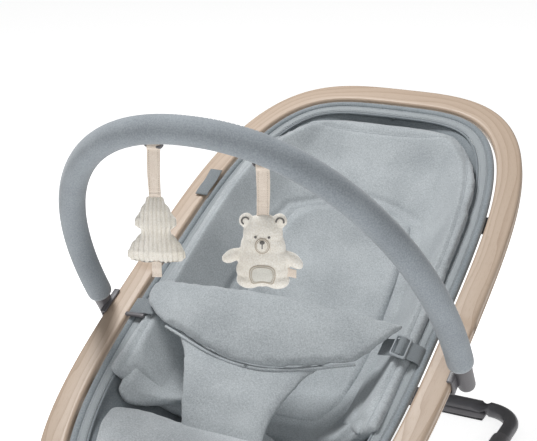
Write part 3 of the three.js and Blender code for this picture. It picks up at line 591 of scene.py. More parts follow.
def board_section():
    """The board's rounded section with a groove halfway up its outer side."""
    section = rounded_box(RING_FACE, RING_THICKNESS, 4.5, 5)
    outer = RING_FACE / 2
    groove = [(outer, -GROOVE_WIDTH), (outer - GROOVE_DEPTH, -GROOVE_WIDTH / 2),
              (outer - GROOVE_DEPTH, GROOVE_WIDTH / 2), (outer, GROOVE_WIDTH)]
    return groove + section


wood_ring = sweep_round("ring_board", RING_FACE / 2, RING_THICKNESS / 2, board_section(), BEECH)
settle(wood_ring, "seat", "ash_wood", "wood_ring")
print("ring faces", len(wood_ring.data.polygons))

# %% [markdown]
# ## The fabric edge
# Between the wood and the padding run three things: a steel tube wrapped in smooth cloth, a flat
# band of ribbed mesh that is sewn to it, and the turned edge of the shell. They are swept round
# the same outline at growing insets, so the dark gaps between them stay even.

# %% Wrapped tube, band and piping
WRAP_INSET = 40.5
WRAP_RADIUS = 4.6
BAND_INSET = 50.5
BAND_WIDTH = 11.5
EDGE_INSET = 58.0

wrap = sweep_round("tube_wrap", WRAP_INSET, 5.5, circle(WRAP_RADIUS, 16), SHELL_CLOTH)
settle(wrap, "seat", "border_cloth", "border_channel")
inner_tube = sweep_round("frame_tube", WRAP_INSET, 5.5, circle(WRAP_RADIUS - 1.2, 12), BRIGHT_STEEL)
settle(inner_tube, "seat", "bright_steel", "seat_tube")


def band_section():
    """A flat tape that is a little higher in its middle."""
    half = BAND_WIDTH / 2
    top = [(half - BAND_WIDTH * k / 10, 1.0 + 0.9 * math.sin(math.pi * k / 10)) for k in range(11)]
    bottom = [(x, y - 1.4) for x, y in reversed(top)]
    return top + bottom


band = sweep_round("edge_band", BAND_INSET, 5.0, band_section(), BAND)
settle(band, "seat", "border_cloth")
piping = sweep_round("edge_piping", EDGE_INSET, 5.5, circle(1.6, 10), SHELL_CLOTH)
settle(piping, "seat", "border_cloth")

# %% [markdown]
# ## Stitches
# A row of stitches is one small thread shape repeated along a path, so it is a Geometry Nodes
# tree: resample the curve to one point for each stitch, put a thread on each point, turn it along
# the curve, and make the copies real. Its inputs are the pitch, the length and the thickness.


# %% The stitch tree
def stitch_tree():
    """A curve in, a row of stitches out."""
    tree = bpy.data.node_groups.new("Stitches", "GeometryNodeTree")
    tree.interface.new_socket("Geometry", in_out="INPUT", socket_type="NodeSocketGeometry")
    for label, value in (("Pitch", 0.004), ("Length", 0.0028), ("Radius", 0.0003)):
        socket = tree.interface.new_socket(label, in_out="INPUT", socket_type="NodeSocketFloat")
        socket.default_value = value
    tree.interface.new_socket("Material", in_out="INPUT", socket_type="NodeSocketMaterial")
    tree.interface.new_socket("Geometry", in_out="OUTPUT", socket_type="NodeSocketGeometry")
    given = tree.nodes.new("NodeGroupInput")
    result = tree.nodes.new("NodeGroupOutput")
    resample = tree.nodes.new("GeometryNodeResampleCurve")
    resample.mode = "LENGTH"
    thread = tree.nodes.new("GeometryNodeMeshCylinder")
    thread.inputs["Vertices"].default_value = 6
    thread.inputs["Side Segments"].default_value = 1
    tangent = tree.nodes.new("GeometryNodeInputTangent")
    align = tree.nodes.new("FunctionNodeAlignRotationToVector")
    align.axis = "Z"
    place = tree.nodes.new("GeometryNodeInstanceOnPoints")
    real = tree.nodes.new("GeometryNodeRealizeInstances")
    paint = tree.nodes.new("GeometryNodeSetMaterial")
    link = tree.links.new
    link(given.outputs["Geometry"], resample.inputs["Curve"])
    link(given.outputs["Pitch"], resample.inputs["Length"])
    link(given.outputs["Length"], thread.inputs["Depth"])
    link(given.outputs["Radius"], thread.inputs["Radius"])
    link(resample.outputs["Curve"], place.inputs["Points"])
    link(thread.outputs["Mesh"], place.inputs["Instance"])
    link(tangent.outputs["Tangent"], align.inputs["Vector"])
    link(align.outputs["Rotation"], place.inputs["Rotation"])
    link(place.outputs["Instances"], real.inputs["Geometry"])
    link(real.outputs["Geometry"], paint.inputs["Geometry"])
    link(given.outputs["Material"], paint.inputs["Material"])
    link(paint.outputs["Geometry"], result.inputs["Geometry"])
    return tree


STITCHES = stitch_tree()


def stitch_row(name, points, body, slot, material=THREAD, pitch=0.0045, length=0.003,
               radius=0.0004, closed=False):
    """Runs the stitch tree on a path and keeps the result as a plain mesh."""
    curve = bpy.data.curves.new(name + "_path", "CURVE")
    curve.dimensions = "3D"
    spline = curve.splines.new("POLY")
    spline.points.add(len(points) - 1)
    for target, point in zip(spline.points, points):
        target.co = (*point, 1)
    spline.use_cyclic_u = closed
    holder = bpy.data.objects.new(name + "_path", curve)
    bpy.context.scene.collection.objects.link(holder)
    modifier = holder.modifiers.new("Stitches", "NODES")
    modifier.node_group = STITCHES
    given = [item for item in STITCHES.interface.items_tree if item.in_out == "INPUT"]
    sockets = {item.name: item.identifier for item in given}
    modifier[sockets["Pitch"]] = pitch
    modifier[sockets["Length"]] = length
    modifier[sockets["Radius"]] = radius
    modifier[sockets["Material"]] = material
    graph = bpy.context.evaluated_depsgraph_get()
    mesh = bpy.data.meshes.new_from_object(holder.evaluated_get(graph), depsgraph=graph)
    bpy.data.objects.remove(holder)
    row = bpy.data.objects.new(name, mesh)
    bpy.context.scene.collection.objects.link(row)
    return settle(row, body, slot)


def round_path(inset, height, count=200):
    """Scene points round the oval at a height over the ring's top face."""
    return [seat(u, v, height) for u, v, _, _ in oval_path(inset, count)]


BAND_STITCH_REACH = 3.6  # of each row, from the band's middle
for word, reach in (("outer", -BAND_STITCH_REACH), ("inner", BAND_STITCH_REACH)):
    band_line = round_path(BAND_INSET + reach, -3.1)
    stitch_row(f"band_stitches_{word}", band_line, "seat", "border_cloth", closed=True)
print("edge pieces done")

# %% [markdown]
# ## The sling and the pads
# The seat's shell hangs from the edge like a hammock, and the pads lie in it. All of them follow
# one hollow shape, given by its depth along the seat. A pad is a closed cushion with round edges,
# drawn at an even distance off that hollow, and then puffed with a short cloth simulation:
# pressure from inside swells it, as filling does.

# %% The hollow
SLING_INSET = 53.0
EDGE_DEPTH = 8.0
SEAT_DEPTH = [(-300, 4), (-230, 10), (-185, 28), (-125, 78), (-70, 104), (0, 108),
              (90, 96), (180, 82), (270, 66), (340, 44), (400, 18), (440, 4)]
WALL_POWER = 3.2


def mix(low, high, share):
    """A value between two others."""
    return low + (high - low) * share


def station_value(stations, place):
    """Smooth interpolation in a list of (place, value) stations."""
    if place <= stations[0][0]:
        return stations[0][1]
    for (a, low), (b, high) in zip(stations, stations[1:]):
        if place <= b:
            share = (place - a) / (b - a)
            eased = 0.5 * (share + share * share * (3 - 2 * share))
            return mix(low, high, eased)
    return stations[-1][1]


def half_width(v, inset):
    """Half of the opening's width at a place along the seat."""
    share = min(1.0, abs(v - RING_CENTRE) / (RING_HALF_LENGTH - inset))
    return (RING_HALF_WIDTH - inset) * (1 - share ** RING_EXPONENT) ** (1 / RING_EXPONENT)


def hollow(u, v):
    """Height of the sling's upper face."""
    share = min(1.0, abs(u) / max(half_width(v, SLING_INSET), 1.0))
    return -EDGE_DEPTH - station_value(SEAT_DEPTH, v) * (1 - share ** WALL_POWER)


def off_hollow(u, v, lift):
    """A point at this distance from the sling, square to its surface."""
    step = 2.0
    slope_u = (hollow(u + step, v) - hollow(u - step, v)) / (2 * step)
    slope_v = (hollow(u, v + step) - hollow(u, v - step)) / (2 * step)
    out = Vector((-slope_u, -slope_v, 1)).normalized()
    return Vector((u, v, hollow(u, v))) + out * lift


# %% The sling
def grid_faces(columns, rows, start=0, turned=False):
    """Quads of a grid of points, listed row by row."""
    width = columns + 1
    faces = []
    for j in range(rows):
        for i in range(columns):
            a = start + j * width + i
            quad = (a, a + 1, a + width + 1, a + width)
            faces.append(quad[::-1] if turned else quad)
    return faces


def grid_rim(columns, rows):
    """Indices of a grid's edge points, in order round it."""
    width = columns + 1
    foot = list(range(columns))
    right = [columns + j * width for j in range(rows)]
    head = [rows * width + columns - i for i in range(columns)]
    left = [(rows - j) * width for j in range(rows)]
    return foot + right + head + left


def two_faced(name, top, bottom, columns, rows, material):
    """A closed solid between two grids of scene points."""
    count = len(top)
    faces = grid_faces(columns, rows) + grid_faces(columns, rows, count, True)
    rim = grid_rim(columns, rows)
    for a, b in zip(rim, rim[1:] + rim[:1]):
        faces.append((a, count + a, count + b, b))
    piece = make_piece(name, list(top) + list(bottom), faces, material)
    face_out(piece)
    return piece


def oval_grid(inset, columns, rows):
    """A grid of (u, v) whose edge is the oval's edge."""
    grid = []
    for j in range(rows + 1):
        for i in range(columns + 1):
            a, b = 2 * i / columns - 1, 2 * j / rows - 1
            norm = (abs(a) ** RING_EXPONENT + abs(b) ** RING_EXPONENT) ** (1 / RING_EXPONENT) or 1.0
            scale = max(abs(a), abs(b)) / norm
            u = (RING_HALF_WIDTH - inset) * a * scale
            grid.append((u, (RING_HALF_LENGTH - inset) * b * scale + RING_CENTRE))
    return grid


def sag(u, v):
    """Soft unevenness of hanging cloth, in millimetres."""
    return 1.4 * noise.noise(Vector((u / 70, v / 45, 0.3)))


SLING_COLUMNS, SLING_ROWS = 60, 110
sling_grid = oval_grid(SLING_INSET - 3, SLING_COLUMNS, SLING_ROWS)
sling_top = [seat(u, v, hollow(u, v) + 0.5) for u, v in sling_grid]
sling_bottom = [seat(u, v, hollow(u, v) - 2.5 + sag(u, v)) for u, v in sling_grid]
sling = two_faced("sling_shell", sling_top, sling_bottom, SLING_COLUMNS, SLING_ROWS, SHELL_CLOTH)
settle(sling, "seat", "grey_cloth", "sling")
print("sling faces", len(sling.data.polygons))


# %% Cushions
def edge_spacing(count):
    """Steps from 0 to 1 that crowd towards both ends, where a cushion's edge curves."""
    return [0.5 - 0.5 * math.cos(math.pi * k / count) for k in range(count + 1)]


def cushion(name, place, thickness, round_over, material, columns=48, rows=48, thin=0.12):
    """A closed cushion with round edges round a middle layer place(s, t), in seat millimetres."""
    across, along = edge_spacing(columns), edge_spacing(rows)
    grid = [[place(s, t) for s in across] for t in along]
    top, bottom = [], []
    for j in range(rows + 1):
        for i in range(columns + 1):
            right = grid[j][min(i + 1, columns)] - grid[j][max(i - 1, 0)]
            ahead = grid[min(j + 1, rows)][i] - grid[max(j - 1, 0)][i]
            out = right.cross(ahead).normalized()
            if out.z < 0:
                out = -out
            here = grid[j][i]
            gap = min((here - grid[j][0]).length, (here - grid[j][columns]).length,
                      (here - grid[0][i]).length, (here - grid[rows][i]).length)
            full = thickness(across[i], along[j]) if callable(thickness) else thickness
            share = min(1.0, gap / round_over)
            swell = max(thin, math.sqrt(1 - (1 - share) ** 2))
            for side, layer in ((0.5, top), (-0.5, bottom)):
                layer.append(seat(*(here + out * (side * swell * full))))
    return two_faced(name, top, bottom, columns, rows, material)


# %% Puffing by cloth simulation
def apply_modifiers(piece):
    """Bakes every modifier into the piece's mesh."""
    graph = bpy.context.evaluated_depsgraph_get()
    mesh = bpy.data.meshes.new_from_object(piece.evaluated_get(graph), depsgraph=graph)
    piece.modifiers.clear()
    piece.data = mesh
    mesh.polygons.foreach_set("use_smooth", [True] * len(mesh.polygons))


def remesh(piece, voxel, smooth):
    """Even small faces all over, which cloth and fine shaping both need."""
    modifier = piece.modifiers.new("Remesh", "REMESH")
    modifier.mode = "VOXEL"
    modifier.voxel_size = voxel * MM
    relax = piece.modifiers.new("Smooth", "SMOOTH")
    relax.iterations = smooth
    relax.factor = 0.5
    apply_modifiers(piece)


def puff(piece, voxel, pressure, cap, frames=16):
    """Swells a piece with air pressure, by no more than cap millimetres anywhere."""
    remesh(piece, voxel, 6)
    start = [v.co.copy() for v in piece.data.vertices]
    cloth = piece.modifiers.new("Cloth", "CLOTH")
    cloth.settings.use_pressure = True
    cloth.settings.uniform_pressure_force = pressure
    cloth.settings.effector_weights.gravity = 0
    cloth.settings.quality = 4
    cloth.settings.tension_stiffness = 15
    cloth.settings.compression_stiffness = 8
    cloth.settings.bending_stiffness = 0.4
    cloth.collision_settings.use_collision = False
    cloth.point_cache.frame_end = frames
    for step in range(1, frames + 1):
        bpy.context.scene.frame_set(step)
    apply_modifiers(piece)
    for vertex, before in zip(piece.data.vertices, start):
        move = vertex.co - before
        if move.length > cap * MM:
            vertex.co = before + move * (cap * MM / move.length)
    bpy.context.scene.frame_set(1)
    finer = piece.modifiers.new("Subdivision", "SUBSURF")
    finer.levels = finer.render_levels = 1
    apply_modifiers(piece)
    return piece


# %% [markdown]
# ### Seams
# Where two cloths are sewn together the surface dips, and the thread lies in the dip. A seam here
# is a path over a finished cushion. The mesh is pressed in along it, and a row of stitches follows.


# %% Seams
def on_surface(piece, points, lift):
    """Drops scene points onto a piece along the seat's normal, and lifts them off a little."""
    tree = BVHTree.FromObject(piece, bpy.context.evaluated_depsgraph_get())
    landed = []
    for point in points:
        hit, normal, _, _ = tree.ray_cast(point + UPWARD * 0.3, -UPWARD)
        if hit is not None:
            landed.append(hit + normal * (lift * MM))
    return landed


def press_in(piece, path, depth, width):
    """Presses a soft groove into a piece along a path of scene points."""
    tree = KDTree(len(path))
    for i, point in enumerate(path):
        tree.insert(point, i)
    tree.balance()
    moves = []
    for vertex in piece.data.vertices:
        _, _, gap = tree.find(vertex.co)
        gap /= MM
        if gap < 3 * width:
            moves.append((vertex, vertex.normal * (depth * MM * math.exp(-((gap / width) ** 2)))))
    for vertex, move in moves:
        vertex.co -= move


def fine_path(corners, step=2.0):
    """Scene points every couple of millimetres along a line of (u, v) corners, at a high h."""
    points = []
    for (u0, v0), (u1, v1) in zip(corners, corners[1:]):
        count = max(1, round(math.hypot(u1 - u0, v1 - v0) / step))
        points += [seat(mix(u0, u1, k / count), mix(v0, v1, k / count), 20) for k in range(count)]
    return points + [seat(*corners[-1], 20)]


def seam(name, piece, body, slot, corners, depth=1.2, width=3.0, **stitch):
    """A pressed-in line over a piece, with stitches in it."""
    path = on_surface(piece, fine_path(corners), 0.0)
    press_in(piece, path, depth, width)
    line = on_surface(piece, path, 0.25)
    return stitch_row(name, line, body, slot, **stitch)


# %% [markdown]
# ### Back pad
# One long pad from the hips to the head. It fills the hollow's width, so its sides stand up beside
# the baby like low bolsters. A second, smaller panel is sewn onto its middle.

# %% Back pad
PAD_INSET = 58.0
PAD_BREAK = -112.0
PAD_HEAD = 417.0
BOLSTER_RISE = 19.0
BOLSTER_REACH = 13.0
PAD_REST = 5.0
BACK_THICKNESS = 17.0


def bolster(s, t):
    """Extra height and reach that turn the pad's two sides into soft bolsters."""
    share = max(0.0, (abs(2 * s - 1) - 0.72) / 0.28)
    rise = share * share * (3 - 2 * share) * min(1.0, (1 - t) / 0.22)
    return Vector((math.copysign(BOLSTER_REACH, s - 0.5) * rise, 0, BOLSTER_RISE * rise))


def back_place(s, t):
    v = mix(PAD_BREAK + 4, PAD_HEAD, t)
    place = off_hollow((2 * s - 1) * half_width(v, PAD_INSET), v, PAD_REST + BACK_THICKNESS / 2)
    return place + bolster(s, t)


back_pad = cushion("back_cushion", back_place, BACK_THICKNESS, 13, GREY_CLOTH, 56, 84)
puff(back_pad, 5.5, 2.5, 4)
edge_line = [(side * (half_width(v, PAD_INSET) - 9), v) for side in (1,) for v in range(-96, 385, 6)]
edge_line += [(-(half_width(v, PAD_INSET) - 9), v) for v in range(380, -97, -6)]
seam("back_edge_stitches", back_pad, "seat", "grey_cloth", edge_line, 1.4, 3.0)
settle(back_pad, "seat", "grey_cloth", "back_pad")
print("back pad", len(back_pad.data.vertices))

# %% Raised panel
PANEL_FOOT = -62.0
PANEL_WIDTH = [(-62, 82), (-24, 104), (50, 114), (100, 112), (220, 103), (262, 92)]
PANEL_SIDE_TOP = 254.0
PANEL_ARCH = 36.0
PANEL_THICKNESS = 13.0


def panel_place(s, t):
    head = PANEL_SIDE_TOP + PANEL_ARCH * (1 - abs(2 * s - 1) ** 2.0)
    v = mix(PANEL_FOOT, head, t)
    width = station_value(PANEL_WIDTH, mix(PANEL_FOOT, PANEL_SIDE_TOP, t))
    return off_hollow((2 * s - 1) * width, v, PAD_REST + BACK_THICKNESS + 4.5 - 9 * (1 - t) ** 3)


def panel_outline(spread):
    """The panel's edge as (u, v) corners, moved outwards by a distance."""
    sides = range(int(PANEL_FOOT), int(PANEL_SIDE_TOP), 6)
    right = [(station_value(PANEL_WIDTH, v) + spread, v) for v in sides]
    reach = station_value(PANEL_WIDTH, PANEL_SIDE_TOP) + spread
    crown = [(1 - k / 16) for k in range(33)]
    arch = [(reach * a, PANEL_SIDE_TOP + spread + PANEL_ARCH * (1 - a ** 2)) for a in crown]
    return right + arch + [(-u, v) for u, v in reversed(right)]


press_in(back_pad, on_surface(back_pad, fine_path(panel_outline(2.0)), 0.0), 2.5, 5.0)
panel = cushion("newborn_panel", panel_place, PANEL_THICKNESS, 7, GREY_CLOTH, 60, 66, 0.45)
puff(panel, 3.5, 2.5, 3)
seam("panel_stitches", panel, "seat", "grey_cloth", panel_outline(-6.0), 1.0, 2.4)
settle(panel, "seat", "grey_cloth", "newborn_inlay")

# %% [markdown]
# ### Seat pad
# A separate thick cushion under the thighs, with a high rounded edge where it meets the back pad.

# %% Seat pad
SEAT_PAD_FOOT = -270.0
SEAT_THICKNESS = 24.0


SEAT_CROWN = 26.0
SEAT_CORNER = 36.0


def seat_pad_thickness(s, t):
    """Thickest in the middle of its rear edge, where it is crowned."""
    return SEAT_THICKNESS + SEAT_CROWN * (1 - (2 * s - 1) ** 2) * t ** 4


def seat_pad_place(s, t):
    rear = PAD_BREAK - 4 - SEAT_CORNER * abs(2 * s - 1) ** 2.5
    v = mix(SEAT_PAD_FOOT, rear, t)
    return off_hollow((2 * s - 1) * half_width(v, PAD_INSET), v, PAD_REST + seat_pad_thickness(s, t) / 2)


# Its cloth is painted lighter, as light falling on the front of the seat.
seat_pad = cushion("seat_cushion", seat_pad_place, seat_pad_thickness, 16, SEAT_CLOTH_PAINTED_LIGHT, 56, 44)
puff(seat_pad, 5.5, 3.5, 7)
settle(seat_pad, "seat", "grey_cloth", "seat_pad")

# %% [markdown]
# ### Side wings
# Beside each hip a padded flap comes out from under the waist pad. Its outer edge is sewn along
# the border, and its lower edge is free and runs at a slant, with a rounded outer corner.


# %% Side wings
WING_TOP = 18.0
WING_THICKNESS = 9.0
# For each side: its lower edge's outer and inner places, and how far in it reaches.
WING_SHAPE = {-1: (-146, -80, 82), 1: (-114, -70, 124)}


def wing(side, name):
    """One flap. The one on the baby's left is narrower and shorter."""
    def place(s, t):
        low_outer, low_inner, reach = WING_SHAPE[side]
        low = mix(low_outer, low_inner, s) + 26 * (1 - min(1, s / 0.22)) ** 2
        v = mix(low, WING_TOP, t)
        outer = half_width(v, PAD_INSET - 1)
        u = mix(outer, reach, s)
        return off_hollow(side * u, v, mix(13, 25, min(1, s * 1.6)))

    piece = cushion(f"{name}_flap", place, WING_THICKNESS, 6, GREY_CLOTH, 34, 40, thin=0.2)
    puff(piece, 3.5, 2.0, 2.5)
    line = [(side * (half_width(v, PAD_INSET - 1) - 15), v) for v in range(-92, 12, 4)]
    seam(f"{name}_stitches", piece, "seat", "grey_cloth", line, 1.2, 2.6)
    settle(piece, "seat", "grey_cloth", name)


wing(-1, "right_side_wing")
wing(1, "left_side_wing")

# %% [markdown]
# ### Waist pad and crotch panel
# The harness is a pad across the hips, sewn to a panel that narrows down between the legs. The
# waist pad bulges forwards. It ends in a soft round nose where its strap is sewn on, and in an
# open slanting edge on the side that unclips. The panel comes out from under its hem.

# %% Waist pad
WAIST_REACH = 163.0
WAIST_END_HEIGHT = 12.0
WAIST_TOP_RISE = 28.0
WAIST_HEM_DROP = 7.0
WAIST_THICKNESS = 11.0
ROUND_END = [(0.0, -138), (0.15, -156), (0.35, -169), (0.6, -175), (0.82, -175), (1.0, -165)]
OPEN_END = [(0.0, 121), (0.3, 137), (0.6, 148), (1.0, 158)]


def waist_bow(u):
    return 1 - min(1.0, abs(u + 6) / WAIST_REACH) ** 2


def hem_place(u):
    """Where the hem runs: (v, h)."""
    return mix(-20, -57, waist_bow(u) ** 2), WAIST_END_HEIGHT - WAIST_HEM_DROP * waist_bow(u)


def waist_place(s, t):
    u = mix(station_value(ROUND_END, t), station_value(OPEN_END, t), s)
    hem_v, hem_h = hem_place(u)
    bow = waist_bow(u)
    v = mix(hem_v, mix(38, 28, bow), t)
    h = mix(hem_h, WAIST_END_HEIGHT + WAIST_TOP_RISE * bow, math.sin(math.pi / 2 * t))
    wrinkle = 1.6 * noise.noise(Vector((u / 42, v / 26, 4.1)))
    return Vector((u, v, h + wrinkle))


waist_pad = cushion("waist_cushion", waist_place, WAIST_THICKNESS, 7, GREY_CLOTH, 90, 40, thin=0.2)
puff(waist_pad, 4, 2.0, 3)
settle(waist_pad, "seat", "grey_cloth", "waist_pad")


def hem_lip(inset, sink):
    """Scene points along the hem, from the round end to the open one."""
    points = []
    for k in range(91):
        u = mix(-130, 119, k / 90)
        v, h = hem_place(u)
        points.append(seat(u, v + inset, h + sink))
    return points


hem_path, hem_scales = domed(hem_lip(-1.5, 0.5), 1.5)
hem = sweep("waist_hem", hem_path, circle(1.9, 12), GREY_CLOTH, hem_scales)
settle(hem, "seat", "grey_cloth")

# %% Crotch panel
CROTCH_FOOT = -150.0
CROTCH_RIGHT = [(-150, -58), (-108, -75), (-90, -83), (-71, -93), (-52, -112), (-34, -140)]
CROTCH_LEFT = [(-150, 46), (-116, 47), (-100, 52), (-66, 66), (-46, 88), (-28, 124)]
CROTCH_REST = -25.0


def crotch_place(s, t):
    middle_v = mix(CROTCH_FOOT, -48, t)
    right, left = station_value(CROTCH_RIGHT, middle_v), station_value(CROTCH_LEFT, middle_v)
    u = mix(right, left, s)
    hem_v, hem_h = hem_place(u)
    v = mix(CROTCH_FOOT, hem_v + 7, t)
    fold = 1.5 * noise.noise(Vector((u / 60, v / 22, 7.7)))
    return Vector((u, v, mix(CROTCH_REST, hem_h - 3.5, t) + fold + 5 * math.sin(math.pi * t)))


crotch_panel = cushion("crotch_cushion", crotch_place, 6.5, 4.5, GREY_CLOTH, 50, 50, thin=0.25)
puff(crotch_panel, 3.2, 1.5, 1.5)
settle(crotch_panel, "seat", "grey_cloth", "crotch_panel")
print("pads done")

# %% [markdown]
# ### Straps and buckle
# Flat tape holds the waist pad to the frame on both sides. On the baby's left it runs through a
# ladder lock, a plastic frame with two slots: the tape comes up through one, over the bar in the
# middle, and down through the other. On the right it lies flat, held by a dark clip.


# %% Straps
TAPE_WIDTH = 25.0
TAPE_THICKNESS = 1.5


def harness_tape(name, profile, centre_v, node):
    """Flat webbing across the seat. profile lists (u, h) places."""
    fine = []
    for (u0, h0), (u1, h1) in zip(profile, profile[1:]):
        fine += [(mix(u0, u1, k / 6), mix(h0, h1, k / 6)) for k in range(6)]
    fine.append(profile[-1])
    for _ in range(6):
        middle = [((a[0] + 2 * b[0] + c[0]) / 4, (a[1] + 2 * b[1] + c[1]) / 4)
                  for a, b, c in zip(fine, fine[1:], fine[2:])]
        fine = [fine[0]] + middle + [fine[-1]]
    rings = []
    for i, (u, h) in enumerate(fine):
        before, after = fine[max(i - 1, 0)], fine[min(i + 1, len(fine) - 1)]
        run, rise = after[0] - before[0], after[1] - before[1]
        size = math.hypot(run, rise) or 1.0
        out_u, out_h = -rise / size, run / size
        ring = []
        for across, up in rounded_box(TAPE_WIDTH, TAPE_THICKNESS, TAPE_THICKNESS * 0.45, 2):
            ring.append(seat(u + out_u * up, centre_v + across, h + out_h * up))
        rings.append(ring)
    settle(loft(name, rings, WEBBING), "seat", "grey_webbing", node)


LOCK_U, LOCK_V, LOCK_H = 163.0, 9.0, 12.0
left_tape = [(138, 5), (150, 7.5), (157, 9), (160, 14.6), (166, 14.6), (169, 9), (178, 6),
             (185, 3), (188, -3)]
harness_tape("left_tape", left_tape, LOCK_V, "left_harness_strap")
right_tape = [(-158, 7), (-172, 6), (-181, 3.2), (-190, 2.6), (-195, 1.2), (-197, -6)]
harness_tape("right_tape", right_tape, 0, "right_harness_strap")

# %% Ladder lock and clip
LOCK_LONG, LOCK_WIDE, LOCK_BAR = 31.0, 20.0, 3.2


def lock_point(across, along, up=0.0):
    """A place on the lock, which leans a little outwards."""
    lean = math.radians(-14)
    return seat(LOCK_U + across * math.cos(lean), LOCK_V + along, LOCK_H + across * math.sin(lean) + up)


lock_rings = []
outline = rounded_box(LOCK_WIDE - LOCK_BAR, LOCK_LONG - LOCK_BAR, 2.2, 5)
for across, along in outline:
    size = math.hypot(across, along)
    ring = []
    for x, y in rounded_box(LOCK_BAR, 3.4, 1.1, 3):
        ring.append(lock_point(across + x * across / size, along + x * along / size, y))
    lock_rings.append(ring)
lock_frame = loft("ladder_lock_frame", lock_rings, GREY_PLASTIC, closed=True)
settle(lock_frame, "seat", "grey_plastic", "left_ladder_lock")
lock_bar_path = [lock_point(0, mix(-LOCK_LONG / 2 + 1.5, LOCK_LONG / 2 - 1.5, k / 8)) for k in range(9)]
lock_bar = sweep("ladder_lock_bar", lock_bar_path, rounded_box(3.6, 2.6, 1.0), GREY_PLASTIC)
settle(lock_bar, "seat", "grey_plastic")

clip_line = [seat(mix(-196, -171, k / 10), -15.5, mix(2.5, 4.5, k / 10)) for k in range(11)]
clip_path, clip_scales = domed(clip_line, 1.5)
clip_section = rounded_box(5.5, 4.0, 1.4)
strap_clip = sweep("right_clip_bar", clip_path, clip_section, DARK_PLASTIC, clip_scales, up=UPWARD)
settle(strap_clip, "seat", "dark_plastic", "right_strap_clip")

# %% Sewn label
LABEL_U, LABEL_HEIGHT = -199.0, 2.6
label_section = rounded_box(18, 1.4, 0.5, 2)
label_rings = []
for k in range(17):
    v, ripple = mix(208, 258, k / 16), 0.8 * math.sin(k * 0.5)
    label_rings.append([seat(LABEL_U + x, v, LABEL_HEIGHT + y + ripple) for x, y in label_section])
label = loft("side_label", label_rings, WEBBING)
settle(label, "seat", "grey_webbing", "cloth_label")
print("harness done")

# %% [markdown]
# ## The toy bar
# A bent plastic tube inside a padded sleeve. The sleeve is one smooth sweep, with a sewn seam along
# its outer side, and a dark fitting comes out of each end and clips over the wood's edge.

# %% Arch path
BAR_HALF_SPAN = 238.0
BAR_RISE = 340.0
BAR_EXPONENT = 2.2
BAR_LIFT = 7.5
SLEEVE_RADIUS = 15.5


def arch_place(turn):
    """(u, h) on the arch's middle line. turn is 0 at the right end and pi at the left end."""
    power = lambda value: math.copysign(abs(value) ** (2 / BAR_EXPONENT), value)
    return -BAR_HALF_SPAN * power(math.cos(turn)), BAR_LIFT + BAR_RISE * power(math.sin(turn))


SLEEVE_START = 0.018  # turn at which the cloth sleeve begins, just above the end fittings
ARCH_TURNS = [mix(SLEEVE_START, math.pi - SLEEVE_START, k / 200) for k in range(201)]
arch_path = [leaning(*arch_place(turn)) for turn in ARCH_TURNS]
sleeve_start = [(arch_path[0], 0.8), (arch_path[0] + (arch_path[1] - arch_path[0]) * 0.3, 0.97)]
sleeve_end = [(arch_path[-1] + (arch_path[-2] - arch_path[-1]) * 0.3, 0.97), (arch_path[-1], 0.8)]
sleeve_run = sleeve_start + [(p, 1.0) for p in arch_path[1:-1]] + sleeve_end
sleeve = sweep("arch_sleeve", [p for p, _ in sleeve_run], circle(SLEEVE_RADIUS, 36), BAR_CLOTH,
               [scale for _, scale in sleeve_run], up=ALONG)
settle(sleeve, "toy_bar", "sleeve_cloth", "bar_sleeve")
outer_side = []
for before, here, after in zip(arch_path[8:], arch_path[9:-9], arch_path[10:]):
    outward = (after - before).normalized().cross(ALONG)
    back = ALONG * 0.8 - outward * 0.6 if outward.dot(UPWARD) < 0 else ALONG * 0.8 + outward * 0.6
    outer_side.append(here + back.normalized() * ((SLEEVE_RADIUS + 0.1) * MM))
stitch_row("sleeve_seam", outer_side, "toy_bar", "sleeve_cloth", material=THREAD, pitch=0.005)
paint_node("bar_core", DARK_PLASTIC)

# %% Bar ends
BAR_END_RADIUS = 10.5
BAR_END_LENGTH = 41.0
BAR_END_TOP = BAR_LIFT + 11
NOSE_LENGTH = 7.0
NOSE_TURNS = (0.25, 0.5, 0.8, 1.1, 1.35, 1.5)
for side, word in ((-1, "right"), (1, "left")):
    across = side * (BAR_HALF_SPAN + 1.5)
    straight = [leaning(across, BAR_END_TOP - k * BAR_END_LENGTH / 10) for k in range(11)]
    down = (straight[-1] - straight[0]).normalized()
    nose = [straight[-1] + down * (NOSE_LENGTH * MM * math.sin(t)) for t in NOSE_TURNS]
    end_scales = [1.0] * len(straight) + [max(math.cos(t) ** 0.5, 0.05) for t in NOSE_TURNS]
    end_tube = sweep(f"{word}_end_tube", straight + nose, circle(BAR_END_RADIUS, 32),
                     DARK_PLASTIC, end_scales, up=ALONG)
    settle(end_tube, "toy_bar", "dark_plastic", f"{word}_bar_end")
    soften(f"{word}_bar_clip", DARK_PLASTIC, "seat", "dark_plastic", 1.2)
print("toy bar done")

# %% [markdown]
# ## The hanging toys
# Each toy hangs by a ribbon from a wire loop under the sleeve. The toys are modelled hanging
# straight down from that loop, in millimetres across, deep and high, with the loop as their origin.


# %% Hanging places
def hanging(name, turned=0.0, size=1.0, top=0.0, lift=0.0):
    """A function from a toy's own millimetres to a scene point. It grows round its top."""
    centre = Vector(joints[name]["pos_m"])
    spin = Matrix.Rotation(math.radians(turned), 3, "Z")

    def place(x, y, z):
        grown = Vector((x * size, y * size, lift + top + (z - top) * size))
        return centre + spin @ (grown * MM)

    return place


TOY_TURN = 22.0  # degrees, towards the side
tree_at = hanging("tree_swing", TOY_TURN)
bear_ribbon_at = hanging("bear_swing", TOY_TURN)
bear_at = hanging("bear_swing", TOY_TURN, 0.84, -58.0, 9.0)
TREE_HOOK, BEAR_HOOK = hanging("tree_swing"), hanging("bear_swing")
WIRE_RADIUS = 1.7
HOOK_HALF = 10.5


